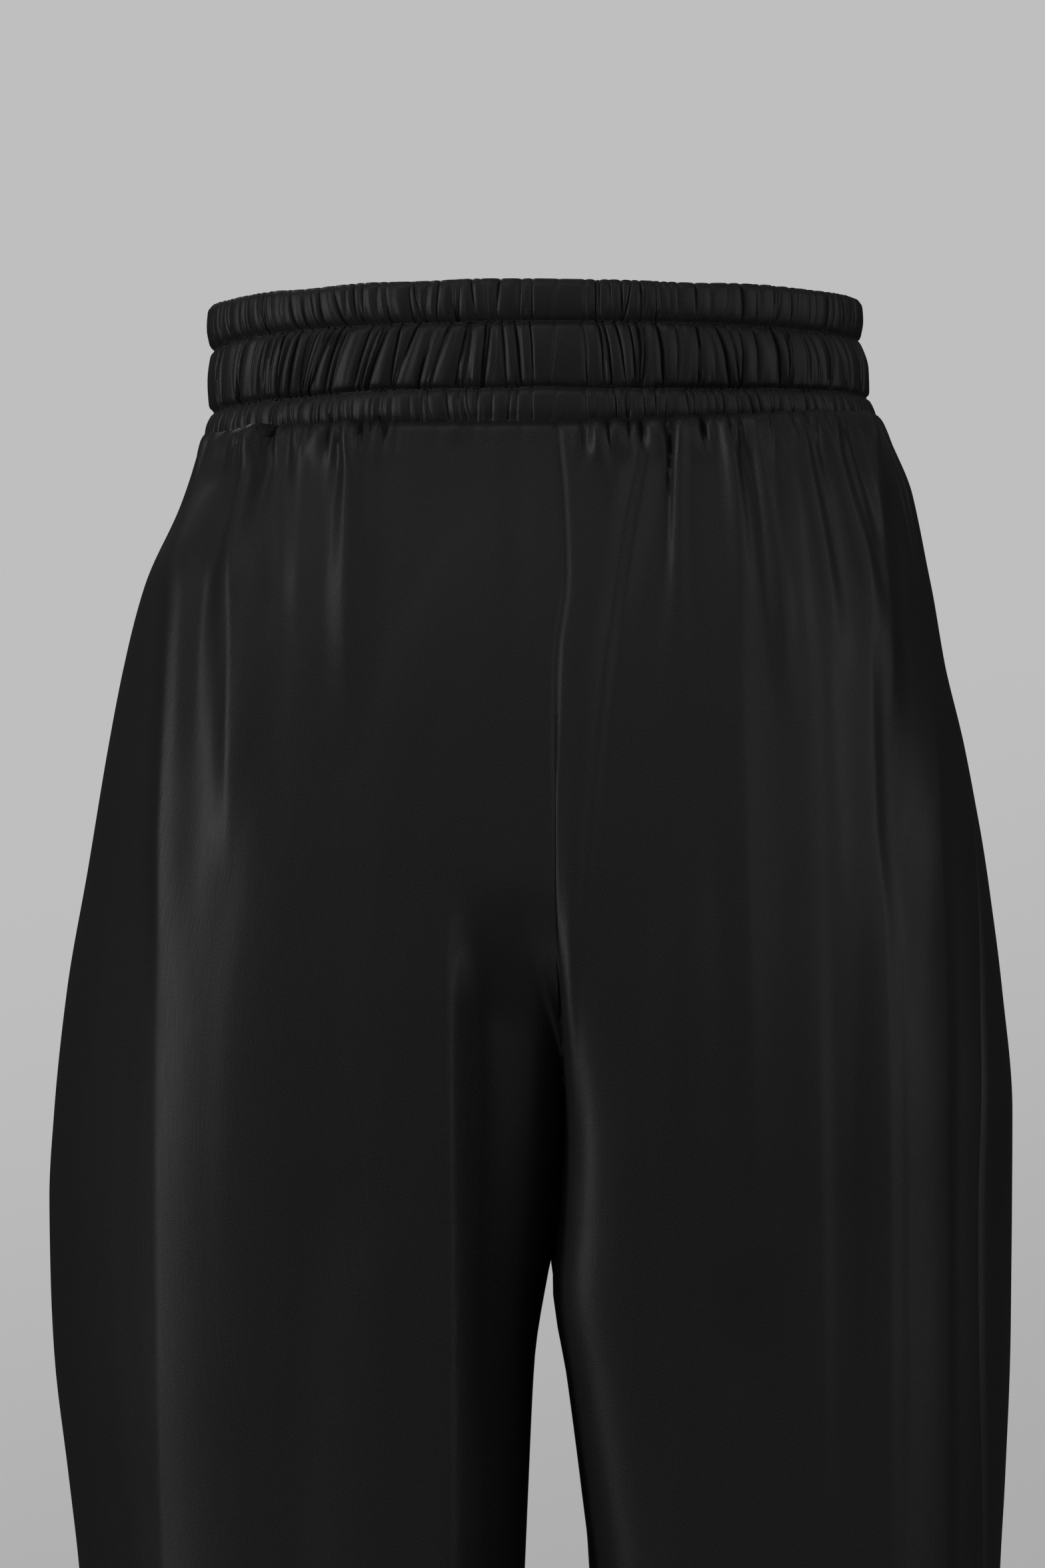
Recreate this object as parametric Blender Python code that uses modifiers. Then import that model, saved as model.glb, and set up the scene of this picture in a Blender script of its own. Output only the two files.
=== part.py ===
"""Drawstring trousers, worn: wide satin legs hung from a gathered waistband of three channels.

Metres, +Z up. The origin is the middle of the waist, at half the waistband's height. The
garment's front faces -Y and its back +Y, so its own left side is at +X. Every cloth piece is a
thin wall that keeps the hollow form it has when it is worn.
"""

import bisect
import math
from collections import namedtuple

import bmesh
import bpy

# Driving dimensions of the cloth
WALL = 0.0012             # one layer with its turnings
SEAM_GAP = 0.0003         # between two pieces that are sewn together
SEAM_LEAN = 0.0002        # added at a seam's outer edges, where the walls curve towards each other
HEM_DEPTH = 0.020         # hem turned up inside
HEM_WALL = 0.0021         # wall where the hem lies double
HEM_EASE = 0.003          # height over which the wall thickens to that

# Driving heights, from the middle of the waistband
WAIST_SEAM = -0.0265      # waistband joins the legs
CROTCH = -0.3150
HEM = -1.0200
LIFT_ENDS = 0.050         # the waist seam's rise at the sides is gone this far below it

# Rise seams: how the back and front seams run down and under to the crotch
BACK_RISE_TURN = -0.095   # the back seam leaves the fullest line here
FRONT_RISE_TURN = -0.130
RISE_POWER = 2.05
CROTCH_Y = 0.002

# Corners of a section: 2 is an ellipse, more is squarer
OUTER_POWER = 2.15
INNER_POWERS = {("back", 1): 2.5, ("back", -1): 3.2, ("front", 1): 2.4, ("front", -1): 2.4}

# Mesh divisions of one leg piece: columns on the inner side of the turn, and from there to the side
INNER_STEPS = 8
OUTER_STEPS = 12
STRAIGHT_SHARE = 0.4      # the flat inner face gets this share of the points it would have
ARC_STEPS = 48            # fine steps along a quarter of a section, before it is divided evenly

# A section of the garment. z is its height. left and right are how far it reaches to each side.
# left_in and right_in are where the inner faces of the legs stand, both equal to the rise seam
# above the crotch. back and front are the fullest depths, mid is the depth of the widest point.
# left_turn, right_turn and front_turn are how far from the centre the cloth is fullest.
Section = namedtuple("Section", "z left right left_in right_in back front mid "
                                "left_turn right_turn front_turn")
SECTIONS = (
    Section(-0.0265, .1325, .1248, -.0022, -.0022, .0890, -.0880, .000, .048, .046, .046),
    Section(-0.0360, .1354, .1306, -.0030, -.0030, .0915, -.0905, .000, .049, .047, .047),
    Section(-0.0513, .1412, .1386, -.0044, -.0044, .0955, -.0945, .000, .050, .048, .048),
    Section(-0.0821, .1548, .1460, -.0054, -.0054, .1040, -.1000, .000, .051, .046, .050),
    Section(-0.1129, .1628, .1514, -.0021, -.0021, .1115, -.1035, .000, .052, .043, .051),
    Section(-0.1436, .1687, .1586, -.0016, -.0016, .1175, -.1055, .001, .052, .040, .052),
    Section(-0.1898, .1764, .1670, -.0014, -.0014, .1240, -.1065, .002, .050, .037, .054),
    Section(-0.2359, .1844, .1732, -.0034, -.0034, .1265, -.1065, .003, .047, .035, .056),
    Section(-0.2821, .1893, .1770, -.0052, -.0052, .1250, -.1065, .004, .046, .035, .058),
    Section(-0.3150, .1912, .1768, -.0035, -.0035, .1225, -.1060, .004, .047, .036, .060),
    Section(-0.3436, .1908, .1765, +.0021, -.0010, .1205, -.1055, .004, .048, .038, .063),
    Section(-0.3744, .1893, .1760, +.0067, -.0056, .1185, -.1050, .005, .050, .041, .067),
    Section(-0.4205, .1839, .1742, +.0090, -.0115, .1155, -.1040, .005, .052, .047, .075),
    Section(-0.4592, .1795, .1719, +.0105, -.0156, .1130, -.1025, .006, .056, .053, .083),
    Section(-0.5700, .1730, .1691, +.0140, -.0200, .1065, -.0980, .006, .078, .076, .093),
    Section(-0.8000, .1725, .1696, +.0180, -.0240, .0990, -.0890, .005, .094, .095, .096),
    Section(-1.0200, .1780, .1761, +.0200, -.0270, .1010, -.0880, .006, .099, .101, .099),
)

# The inner corners of a section, left_corner and right_corner behind and front_corner in front: the
# depth over which the cloth rounds in from its turn. seam_in is how far the right side seam lies
# inside the outline, seen from behind.
Corner = namedtuple("Corner", "z left_corner right_corner front_corner seam_in")
CORNERS = (
    Corner(-0.0265, .050, .040, .050, .0000),
    Corner(-0.0821, .050, .040, .050, .0003),
    Corner(-0.1436, .050, .038, .050, .0016),
    Corner(-0.1898, .050, .036, .050, .0070),
    Corner(-0.2359, .050, .034, .050, .0130),
    Corner(-0.2821, .052, .034, .050, .0172),
    Corner(-0.3150, .054, .036, .050, .0180),
    Corner(-0.3436, .057, .040, .053, .0175),
    Corner(-0.3744, .061, .045, .058, .0165),
    Corner(-0.4205, .070, .056, .068, .0130),
    Corner(-0.4592, .082, .068, .080, .0100),
    Corner(-0.5700, .130, .120, .120, .0060),
    Corner(-0.8000, .200, .200, .200, .0020),
    Corner(-1.0200, .200, .200, .200, .0000),
)

# Heights of the leg pieces' rows of points, closer together where the rise seam turns under
ROWS = (-0.0268, -0.0345, -0.0450, -0.0600, -0.0800, -0.1050, -0.1350, -0.1700, -0.2050, -0.2350,
        -0.2580, -0.2770, -0.2910, -0.3010, -0.3080, -0.3125, -0.3150,
        -0.3220, -0.3360, -0.3600, -0.4000, -0.4592, -0.5400, -0.6400, -0.7600, -0.8900,
        -1.0000, -1.0200)

# A ring of the waistband at its crests. gather is how deep its gathers are cut, slant how far
# they lean there as a share of one gather, left_lift and right_lift how much it rises at a side.
BandRing = namedtuple("BandRing", "z left right back front gather slant left_lift right_lift")
BAND_RINGS = (
    BandRing(+.0263, .1298, .1188, .0868, -.0868, .0010, 0.00, -.0015, +.0005),
    BandRing(+.0243, .1314, .1200, .0885, -.0885, .0021, 0.05, -.0018, +.0004),
    BandRing(+.0187, .1318, .1204, .0890, -.0890, .0026, 0.00, -.0023, +.0002),
    BandRing(+.0134, .1308, .1196, .0882, -.0882, .0020, 0.00, -.0028, +.0000),
    BandRing(+.0113, .1288, .1182, .0862, -.0862, .0009, 0.05, -.0030, +.0000),
    BandRing(+.0092, .1300, .1196, .0880, -.0880, .0020, 0.10, -.0030, +.0003),
    BandRing(-.0010, .1312, .1224, .0893, -.0893, .0030, 0.45, -.0027, +.0014),
    BandRing(-.0112, .1306, .1226, .0884, -.0884, .0022, 0.80, -.0025, +.0027),
    BandRing(-.0132, .1290, .1214, .0863, -.0863, .0009, 0.85, -.0025, +.0030),
    BandRing(-.0153, .1304, .1228, .0878, -.0878, .0018, 0.90, -.0022, +.0038),
    BandRing(-.0208, .1322, .1246, .0884, -.0884, .0020, 1.00, -.0012, +.0058),
    BandRing(-.0265, .1328, .1257, .0872, -.0872, .0010, 1.00, -.0003, +.0080),
)
BAND_INSIDE = BandRing(0.0, .1262, .1158, .0836, -.0836, 0, 0, 0, 0)
BAND_POWER = 2.1
BAND_GATHERS = 128
JOIN_PATCH = (-0.0125, 0.0070)   # ungathered stretch over the waistband's own join, at the back
PATCH_EASE = 0.006               # gathers come back over this much beyond a flat stretch
FLAT_SHARE = 0.5                 # a flat stretch lies at this share of the gathers' depth

# Worked holes for the drawstring, at the front of the middle channel
HOLE_X = 0.019
HOLE_Z = -0.0015
HOLE_HEIGHT = 0.011
HOLE_WIDTH = 0.0042
HOLE_RIM = 0.0008                # radius of the worked edge
HOLE_FLAT = 0.0045               # ungathered half-width round each hole
HOLE_STEPS = 16
HOLE_LEAN = 0.0002               # added because the waistband's face is curved

# Gathers of the legs under the waist seam: depth at the seam, and each one's length down
GATHER_DEPTH = 0.0024
GATHER_LENGTHS = (0.050, 0.090, 0.040, 0.130, 0.060, 0.170, 0.045, 0.100, 0.075, 0.060)

# The largest folds. x is where the fold lies at its top, middle and foot, seen square to the back
# or front, positive on the garment's left. rise is how far it stands out, or in where negative.
# A top above the waist seam is a fold that starts in the gathers, a foot below the hem runs out.
Fold = namedtuple("Fold", "face x_top x_mid x_foot z_top z_foot half_width rise")
FOLDS = (
    Fold("back", +.1330, +.1330, +.1120, -.020, -.640, .021, +.0075),
    Fold("back", +.1075, +.1130, +.1150, +.020, -.190, .010, +.0026),
    Fold("back", +.0960, +.0990, +.0980, +.020, -.120, .009, -.0022),
    Fold("back", +.0760, +.0740, +.0740, +.020, -.150, .010, +.0018),
    Fold("back", +.0640, +.0700, +.0740, -.240, -.800, .026, +.0034),
    Fold("back", +.1150, +.1180, +.1240, -.520, -1.10, .024, +.0050),
    Fold("back", -.0360, -.0290, -.0180, +.020, -.110, .012, -.0018),
    Fold("back", -.1080, -.1205, -.1235, +.020, -.150, .011, +.0032),
    Fold("back", -.0800, -.0840, -.0850, +.020, -.130, .010, +.0020),
    Fold("back", -.1230, -.1270, -.1180, -.170, -.660, .024, +.0044),
    Fold("back", -.0700, -.0760, -.0840, -.320, -.780, .024, -.0030),
    Fold("back", -.1080, -.1150, -.1200, -.560, -1.10, .026, +.0050),
    Fold("front", +.1200, +.1270, +.1180, -.020, -.600, .022, +.0060),
    Fold("front", +.0820, +.0880, +.0900, +.020, -.190, .011, +.0026),
    Fold("front", +.0480, +.0520, +.0540, +.020, -.140, .010, -.0020),
    Fold("front", +.0740, +.0800, +.0900, -.280, -1.10, .026, +.0046),
    Fold("front", -.1130, -.1200, -.1150, -.020, -.580, .022, +.0058),
    Fold("front", -.0780, -.0850, -.0880, +.020, -.170, .011, +.0026),
    Fold("front", -.0440, -.0480, -.0500, +.020, -.150, .010, -.0020),
    Fold("front", -.0720, -.0800, -.0900, -.290, -1.10, .026, +.0044),
)
FOLD_FADE = 0.045         # a fold dies out over this much at each end
SEAM_FLAT = 0.010         # no fold or gather this near a seam
SEAM_CALM = 0.024         # and each at its full depth this far from one
WELD = 0.00001

# Colours, linear
SATIN_BLACK = (0.0105, 0.0100, 0.0108, 1.0)
THREAD_BLACK = (0.0080, 0.0076, 0.0082, 1.0)
SATIN_ROUGHNESS = 0.42
THREAD_ROUGHNESS = 0.60


def clear_scene():
    """Remove every object and the data that only they used."""
    for obj in list(bpy.data.objects):
        bpy.data.objects.remove(obj, do_unlink=True)
    for mesh in list(bpy.data.meshes):
        bpy.data.meshes.remove(mesh)


def ease(value, low, high):
    """0 at low, 1 at high, smooth between."""
    share = min(1.0, max(0.0, (value - low) / (high - low)))
    return share * share * (3.0 - 2.0 * share)


def along(rows, column, z):
    """A named column of a table of rows, read at height z on a smooth curve that never overshoots."""
    points = sorted((row.z, getattr(row, column)) for row in rows)
    if z <= points[0][0]:
        return points[0][1]
    if z >= points[-1][0]:
        return points[-1][1]
    slopes = [(b[1] - a[1]) / (b[0] - a[0]) for a, b in zip(points, points[1:])]
    turns = [slopes[0]]
    for before, after in zip(slopes, slopes[1:]):
        turns.append(0.0 if before * after <= 0 else 2 * before * after / (before + after))
    turns.append(slopes[-1])
    for index, (a, b) in enumerate(zip(points, points[1:])):
        if z <= b[0]:
            break
    step = b[0] - a[0]
    t = (z - a[0]) / step
    return ((2 * t ** 3 - 3 * t ** 2 + 1) * a[1] + (t ** 3 - 2 * t ** 2 + t) * step * turns[index]
            + (3 * t ** 2 - 2 * t ** 3) * b[1] + (t ** 3 - t ** 2) * step * turns[index + 1])


def rise_depth(z, fullest, turn):
    """Depth of a rise seam at height z: with the cloth above its turn, then down and under."""
    if z >= turn:
        return fullest
    if z <= CROTCH:
        return CROTCH_Y
    share = (z - CROTCH) / (turn - CROTCH)
    return CROTCH_Y + (fullest - CROTCH_Y) * (1 - (1 - share) ** RISE_POWER) ** (1 / RISE_POWER)


def quarter(start, end, first_along_y, power):
    """A quarter of a superellipse from start to end, that leaves start along Y or along X."""
    points = []
    for step in range(ARC_STEPS + 1):
        angle = 0.5 * math.pi * step / ARC_STEPS
        far = math.sin(angle) ** (2 / power)
        near = 1 - math.cos(angle) ** (2 / power)
        share_x, share_y = (near, far) if first_along_y else (far, near)
        points.append((start[0] + (end[0] - start[0]) * share_x,
                       start[1] + (end[1] - start[1]) * share_y))
    return points


def divided(path, steps, shift=0.0, first_share=1.0):
    """Points at even distances along a path, which may start a share of one step further on.

    The path's first stretch counts for first_share of its length, and so gets fewer points.
    """
    lengths = [0.0]
    for a, b in zip(path, path[1:]):
        share = first_share if a is path[0] else 1.0
        lengths.append(lengths[-1] + math.dist(a, b) * share)
    found = []
    for step in range(steps + 1):
        goal = lengths[-1] * (step + shift) / steps
        if shift and goal > lengths[-1]:
            goal -= lengths[-1]
        index = min(max(bisect.bisect_left(lengths, goal) - 1, 0), len(path) - 2)
        span = lengths[index + 1] - lengths[index]
        share = (goal - lengths[index]) / span if span else 0.0
        a, b = path[index], path[index + 1]
        found.append((a[0] + (b[0] - a[0]) * share, a[1] + (b[1] - a[1]) * share))
    return found


def inner_arc(seam, turn, corner, power):
    """From a rise seam straight along the inner face, then round the corner to the turn."""
    depth = turn[1] - seam[1]
    rounded = corner * math.tanh(depth / corner)
    return [seam] + quarter((seam[0], turn[1] - rounded), turn, True, power)


def leg_arcs(side, z):
    """The section of one side at height z, as its inner and outer arcs behind and in front.

    side is +1 for the garment's left and -1 for its right. Each arc runs on from the last, from
    the back seam round the side to the front, and the last from the front seam to the front.
    """
    name = "left" if side > 0 else "right"
    reach = side * along(SECTIONS, name, z)
    half_gap = (SEAM_GAP + SEAM_LEAN) / 2
    inner = along(SECTIONS, name + "_in", z) + side * half_gap
    back, front = along(SECTIONS, "back", z), along(SECTIONS, "front", z)
    mid = along(SECTIONS, "mid", z)
    back_turn = side * along(SECTIONS, name + "_turn", z)
    front_turn = side * along(SECTIONS, "front_turn", z)
    back_seam = (inner, rise_depth(z, back, BACK_RISE_TURN) + half_gap)
    front_seam = (inner, rise_depth(z, front, FRONT_RISE_TURN) - half_gap)
    back_inner = inner_arc(back_seam, (back_turn, back), along(CORNERS, name + "_corner", z),
                           INNER_POWERS["back", side])
    back_outer = quarter((back_turn, back), (reach, mid), False, OUTER_POWER)
    front_outer = quarter((reach, mid), (front_turn, front), True, OUTER_POWER)
    front_inner = inner_arc(front_seam, (front_turn, front), along(CORNERS, "front_corner", z),
                            INNER_POWERS["front", side])
    return back_inner, back_outer, front_outer, front_inner


def side_seam_index(side, z, back_outer):
    """The point of the back's outer arc where the side seam runs."""
    inset = along(CORNERS, "seam_in", z) if side < 0 else 0.0
    reach = abs(back_outer[-1][0])
    for index, point in enumerate(back_outer):
        if abs(point[0]) >= reach - inset - 1e-7:
            return max(index, 1)
    return len(back_outer) - 1


def panel_section(side, face, z):
    """Even points of one leg piece at height z, from its rise seam or inseam to the side seam."""
    back_inner, back_outer, front_outer, front_inner = leg_arcs(side, z)
    cut = side_seam_index(side, z, back_outer)
    if face == "back":
        inner = divided(back_inner, INNER_STEPS, first_share=STRAIGHT_SHARE)
        outer = divided(back_outer[:cut + 1], OUTER_STEPS)
    else:
        inner = divided(front_inner, INNER_STEPS, first_share=STRAIGHT_SHARE)
        outer = divided((back_outer[cut:] + front_outer[1:])[::-1], OUTER_STEPS)
    return inner + outer[1:]


def outward(points, index):
    """The unit normal of a path of points at one of them, before its side is chosen."""
    a, b = points[max(index - 1, 0)], points[min(index + 1, len(points) - 1)]
    run = math.dist(a, b)
    return ((b[1] - a[1]) / run, -(b[0] - a[0]) / run)


def fold_rise(face, x, z):
    """How far the largest folds lift the cloth at a place."""
    rise = 0.0
    for fold in FOLDS:
        if fold.face != face or not fold.z_foot < z < fold.z_top:
            continue
        down = (fold.z_top - z) / (fold.z_top - fold.z_foot)
        centre = ((1 - down) * (1 - 2 * down) * fold.x_top + 4 * down * (1 - down) * fold.x_mid
                  + down * (2 * down - 1) * fold.x_foot)
        across = abs(x - centre) / fold.half_width
        if across < 1:
            fades = ease(min(z - fold.z_foot, fold.z_top - z), 0.0, FOLD_FADE)
            rise += fold.rise * fades * math.cos(0.5 * math.pi * across) ** 2
    return rise


def gather_rise(column, columns, z):
    """The gathers under the waist seam: every second column stands out, each to its own length."""
    if column in (0, columns - 1):
        return 0.0
    fold, low = divmod(column, 2)
    length = GATHER_LENGTHS[fold % len(GATHER_LENGTHS)]
    depth = GATHER_DEPTH * (1 - ease(WAIST_SEAM - z, 0.0, length))
    return -depth if low else depth


def waist_lift(x, z):
    """How much the waist seam, and the cloth near it, rises at this side of the garment."""
    ring = BAND_RINGS[-1]
    reach, lift = (ring.left, ring.left_lift) if x > 0 else (ring.right, ring.right_lift)
    near = 1 - ease(WAIST_SEAM - z, 0.0, LIFT_ENDS)
    return lift * near * min(1.0, abs(x) / reach) ** 2


def panel_points(side, face):
    """Rows of points of one leg piece's outer surface, from the waist to the hem."""
    outwards = -1 if (side > 0) == (face == "back") else 1
    half_gap = (SEAM_GAP + SEAM_LEAN) / (2 if face == "back" else -2)
    rows = []
    for z in ROWS:
        section = panel_section(side, face, z)
        whole = sum(math.dist(a, b) for a, b in zip(section, section[1:]))
        row, run = [], 0.0
        for column, (x, y) in enumerate(section):
            if column:
                run += math.dist(section[column - 1], (x, y))
            to_seam = min(run, whole - run)
            rise = fold_rise(face, x, z) + gather_rise(column, len(section), z)
            rise *= ease(to_seam, SEAM_FLAT, SEAM_CALM)
            across, behind = outward(section, column)
            row.append((x + outwards * across * rise, y + outwards * behind * rise,
                        z + waist_lift(x, z)))
        x, y, height = row[-1]
        row[-1] = (x, y + half_gap, height)
        rows.append(row)
    return rows


def new_object(name, mesh, collection, material):
    """A named object of the garment with its own material."""
    obj = bpy.data.objects.new(name, mesh)
    mesh.materials.append(material)
    collection.objects.link(obj)
    return obj


def cloth_material(name, colour, roughness):
    """A plain Principled material of one piece."""
    material = bpy.data.materials.new(name)
    material.use_nodes = True
    shader = material.node_tree.nodes["Principled BSDF"]
    shader.inputs["Base Color"].default_value = colour
    shader.inputs["Roughness"].default_value = roughness
    shader.inputs["Metallic"].default_value = 0.0
    return material


def lofted(name, rows, closed, flip):
    """A mesh of quads through rows of points, each row as long as the next."""
    shape = bmesh.new()
    grid = [[shape.verts.new(point) for point in row] for row in rows]
    columns = len(rows[0])
    last = columns if closed else columns - 1
    for upper, lower in zip(grid, grid[1:]):
        for column in range(last):
            after = (column + 1) % columns
            corners = [upper[column], upper[after], lower[after], lower[column]]
            shape.faces.new(corners[::-1] if flip else corners)
    mesh = bpy.data.meshes.new(name)
    shape.to_mesh(mesh)
    shape.free()
    mesh.shade_smooth()
    return mesh


def make_leg_piece(side, face, collection):
    """One of the four leg pieces: an open cut of cloth, thickened inwards, double at the hem."""
    name = face + ("_left" if side > 0 else "_right")
    rows = panel_points(side, face)
    mesh = lofted(name, rows, closed=False, flip=(side > 0) != (face == "back"))
    piece = new_object(name, mesh, collection, cloth_material(name, SATIN_BLACK, SATIN_ROUGHNESS))
    layers = piece.vertex_groups.new(name="layers")
    columns = len(rows[0])
    for index, z in enumerate(ROWS):
        double = 1 - ease(z, HEM + HEM_DEPTH, HEM + HEM_DEPTH + HEM_EASE)
        wall = WALL + (HEM_WALL - WALL) * double
        layers.add(range(index * columns, (index + 1) * columns), wall / HEM_WALL, "REPLACE")
    wall = piece.modifiers.new("wall", "SOLIDIFY")
    wall.thickness = HEM_WALL
    wall.offset = -1.0
    wall.vertex_group = layers.name
    wall.thickness_vertex_group = 0.0
    return piece


def band_path(ring):
    """The waistband's section at one ring, from the middle of the back round by the left side."""
    middle = (ring.left - ring.right) / 2
    corners = ((middle, ring.back), (ring.left, 0.0), (middle, ring.front), (-ring.right, 0.0))
    path = []
    for index, corner in enumerate(corners):
        end = corners[(index + 1) % len(corners)]
        path += quarter(corner, end, index % 2 == 1, BAND_POWER)[:-1]
    return path + [path[0]]


def band_gathered(x, y):
    """1 where the waistband is gathered, 0 on its flat stretches, smooth between."""
    if y > 0:
        low, high = JOIN_PATCH
        return ease(max(low - x, x - high), 0.0, PATCH_EASE)
    return ease(abs(abs(x) - HOLE_X) - HOLE_FLAT, 0.0, PATCH_EASE)


def band_lift(ring, x):
    """How much a ring of the waistband rises at this side of the garment."""
    reach, lift = (ring.left, ring.left_lift) if x > 0 else (ring.right, ring.right_lift)
    return lift * min(1.0, abs(x) / reach) ** 2


def band_row(ring):
    """The points of one outer ring of the waistband, a crest and a valley for each gather."""
    columns = 2 * BAND_GATHERS
    section = divided(band_path(ring), columns, shift=2 * ring.slant)[:-1]
    row = []
    for column, (x, y) in enumerate(section):
        before, after = section[column - 1], section[(column + 1) % columns]
        run = math.dist(before, after)
        inwards = ((after[1] - before[1]) / run, -(after[0] - before[0]) / run)
        gathered = band_gathered(x, y)
        depth = ring.gather * (gathered * (column % 2) + FLAT_SHARE * (1 - gathered))
        row.append((x + inwards[0] * depth, y + inwards[1] * depth, ring.z + band_lift(ring, x)))
    return row


def make_waistband(collection):
    """The waistband: gathered channels outside, a plain wall inside, as one closed ring."""
    outer = [band_row(ring) for ring in BAND_RINGS]
    plain = divided(band_path(BAND_INSIDE), 2 * BAND_GATHERS)[:-1]
    inner = [[(x, y, ring.z + band_lift(ring, x)) for x, y in plain]
             for ring in (BAND_RINGS[-1], BAND_RINGS[0])]
    rows = outer + inner + outer[:1]
    mesh = lofted("waistband", rows, closed=True, flip=False)
    welded = bmesh.new()
    welded.from_mesh(mesh)
    bmesh.ops.remove_doubles(welded, verts=welded.verts, dist=WELD)
    welded.to_mesh(mesh)
    welded.free()
    return new_object("waistband", mesh, collection,
                      cloth_material("waistband", SATIN_BLACK, SATIN_ROUGHNESS))


def band_front(x, z):
    """Depth of the waistband's flat stretches in front, at a place on the middle channel."""
    upper = min((ring for ring in BAND_RINGS if ring.z >= z), key=lambda ring: ring.z)
    lower = max((ring for ring in BAND_RINGS if ring.z < z), key=lambda ring: ring.z)
    share = (z - lower.z) / (upper.z - lower.z)
    depths = []
    for ring in (lower, upper):
        middle, half = (ring.left - ring.right) / 2, (ring.left + ring.right) / 2
        curve = (1 - (abs(x - middle) / half) ** BAND_POWER) ** (1 / BAND_POWER)
        depths.append(ring.front * curve + ring.gather * FLAT_SHARE)
    return depths[0] + (depths[1] - depths[0]) * share


def make_cord_hole(side, collection):
    """The worked edge of one drawstring hole: a round rim on the waistband's front."""
    name = "cord_hole_left" if side > 0 else "cord_hole_right"
    centre_x, straight = side * HOLE_X, (HOLE_HEIGHT - HOLE_WIDTH) / 2
    ring = min(BAND_RINGS, key=lambda ring: abs(ring.z - HOLE_Z))
    path = bpy.data.curves.new(name, "CURVE")
    path.dimensions = "3D"
    path.bevel_depth = HOLE_RIM
    path.bevel_resolution = 1
    spline = path.splines.new("POLY")
    spline.points.add(HOLE_STEPS - 1)
    spline.use_cyclic_u = True
    for index, point in enumerate(spline.points):
        angle = 2 * math.pi * (index + 0.5) / HOLE_STEPS
        end = straight if math.sin(angle) > 0 else -straight
        x = centre_x + HOLE_WIDTH / 2 * math.cos(angle)
        z = HOLE_Z + end + HOLE_WIDTH / 2 * math.sin(angle)
        y = band_front(x, z) - HOLE_RIM - SEAM_GAP - HOLE_LEAN
        point.co = (x, y, z + band_lift(ring, x), 1.0)
    path.materials.append(cloth_material(name, THREAD_BLACK, THREAD_ROUGHNESS))
    rim = bpy.data.objects.new(name, path)
    collection.objects.link(rim)
    return rim


def main():
    clear_scene()
    garment = bpy.data.collections.new("drawstring_trousers")
    bpy.context.scene.collection.children.link(garment)
    make_waistband(garment)
    for face in ("back", "front"):
        for side in (1, -1):
            make_leg_piece(side, face, garment)
    for side in (1, -1):
        make_cord_hole(side, garment)


main()
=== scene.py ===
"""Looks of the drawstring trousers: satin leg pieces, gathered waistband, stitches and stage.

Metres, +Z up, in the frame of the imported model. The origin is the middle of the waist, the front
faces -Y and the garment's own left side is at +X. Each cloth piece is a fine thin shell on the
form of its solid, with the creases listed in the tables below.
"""

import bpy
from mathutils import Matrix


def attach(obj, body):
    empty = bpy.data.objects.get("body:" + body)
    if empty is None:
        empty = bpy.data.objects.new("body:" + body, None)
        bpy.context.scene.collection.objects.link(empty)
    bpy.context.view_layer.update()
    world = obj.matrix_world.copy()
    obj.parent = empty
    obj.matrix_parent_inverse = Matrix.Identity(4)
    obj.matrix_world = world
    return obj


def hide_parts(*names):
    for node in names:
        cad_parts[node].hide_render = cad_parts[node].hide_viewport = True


bl_info = {
    "name": "Drawstring Trousers Looks",
    "version": (1, 0, 0),
    "blender": (4, 5, 0),
    "location": "View3D > Sidebar > Trousers",
    "description": "Dresses the packed trousers in gathered satin, sewing and a plain studio",
    "category": "Object",
}

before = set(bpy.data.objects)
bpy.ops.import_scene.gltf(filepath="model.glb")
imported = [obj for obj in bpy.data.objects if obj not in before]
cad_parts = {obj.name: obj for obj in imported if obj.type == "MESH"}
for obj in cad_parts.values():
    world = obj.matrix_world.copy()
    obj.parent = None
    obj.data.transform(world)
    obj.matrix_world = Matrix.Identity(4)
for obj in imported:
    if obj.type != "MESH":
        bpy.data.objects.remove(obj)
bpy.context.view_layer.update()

import math
from collections import namedtuple

import bmesh
import bpy
import numpy as np
from mathutils import Vector

# The construction's driving sizes, as the solids have them
SEAM_GAP = 0.0003
SEAM_APART = SEAM_GAP / 4        # a back and a front piece each stand this far off their seam
SEAM_LAP = 0.00005               # the left and right pieces just meet at the rise seams
HEM_DEPTH = 0.020
HEM_WALL = 0.0021
WAIST_SEAM = -0.0265
CROTCH = -0.3150
HEM = -1.0200
LIFT_ENDS = 0.050
BACK_RISE_TURN = -0.095
FRONT_RISE_TURN = -0.130
RISE_POWER = 2.05
CROTCH_Y = 0.002
OUTER_POWER = 2.15
INNER_POWERS = {("back", 1): 2.5, ("back", -1): 3.2, ("front", 1): 2.4, ("front", -1): 2.4}
BAND_POWER = 2.1
ARC_STEPS = 220

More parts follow.
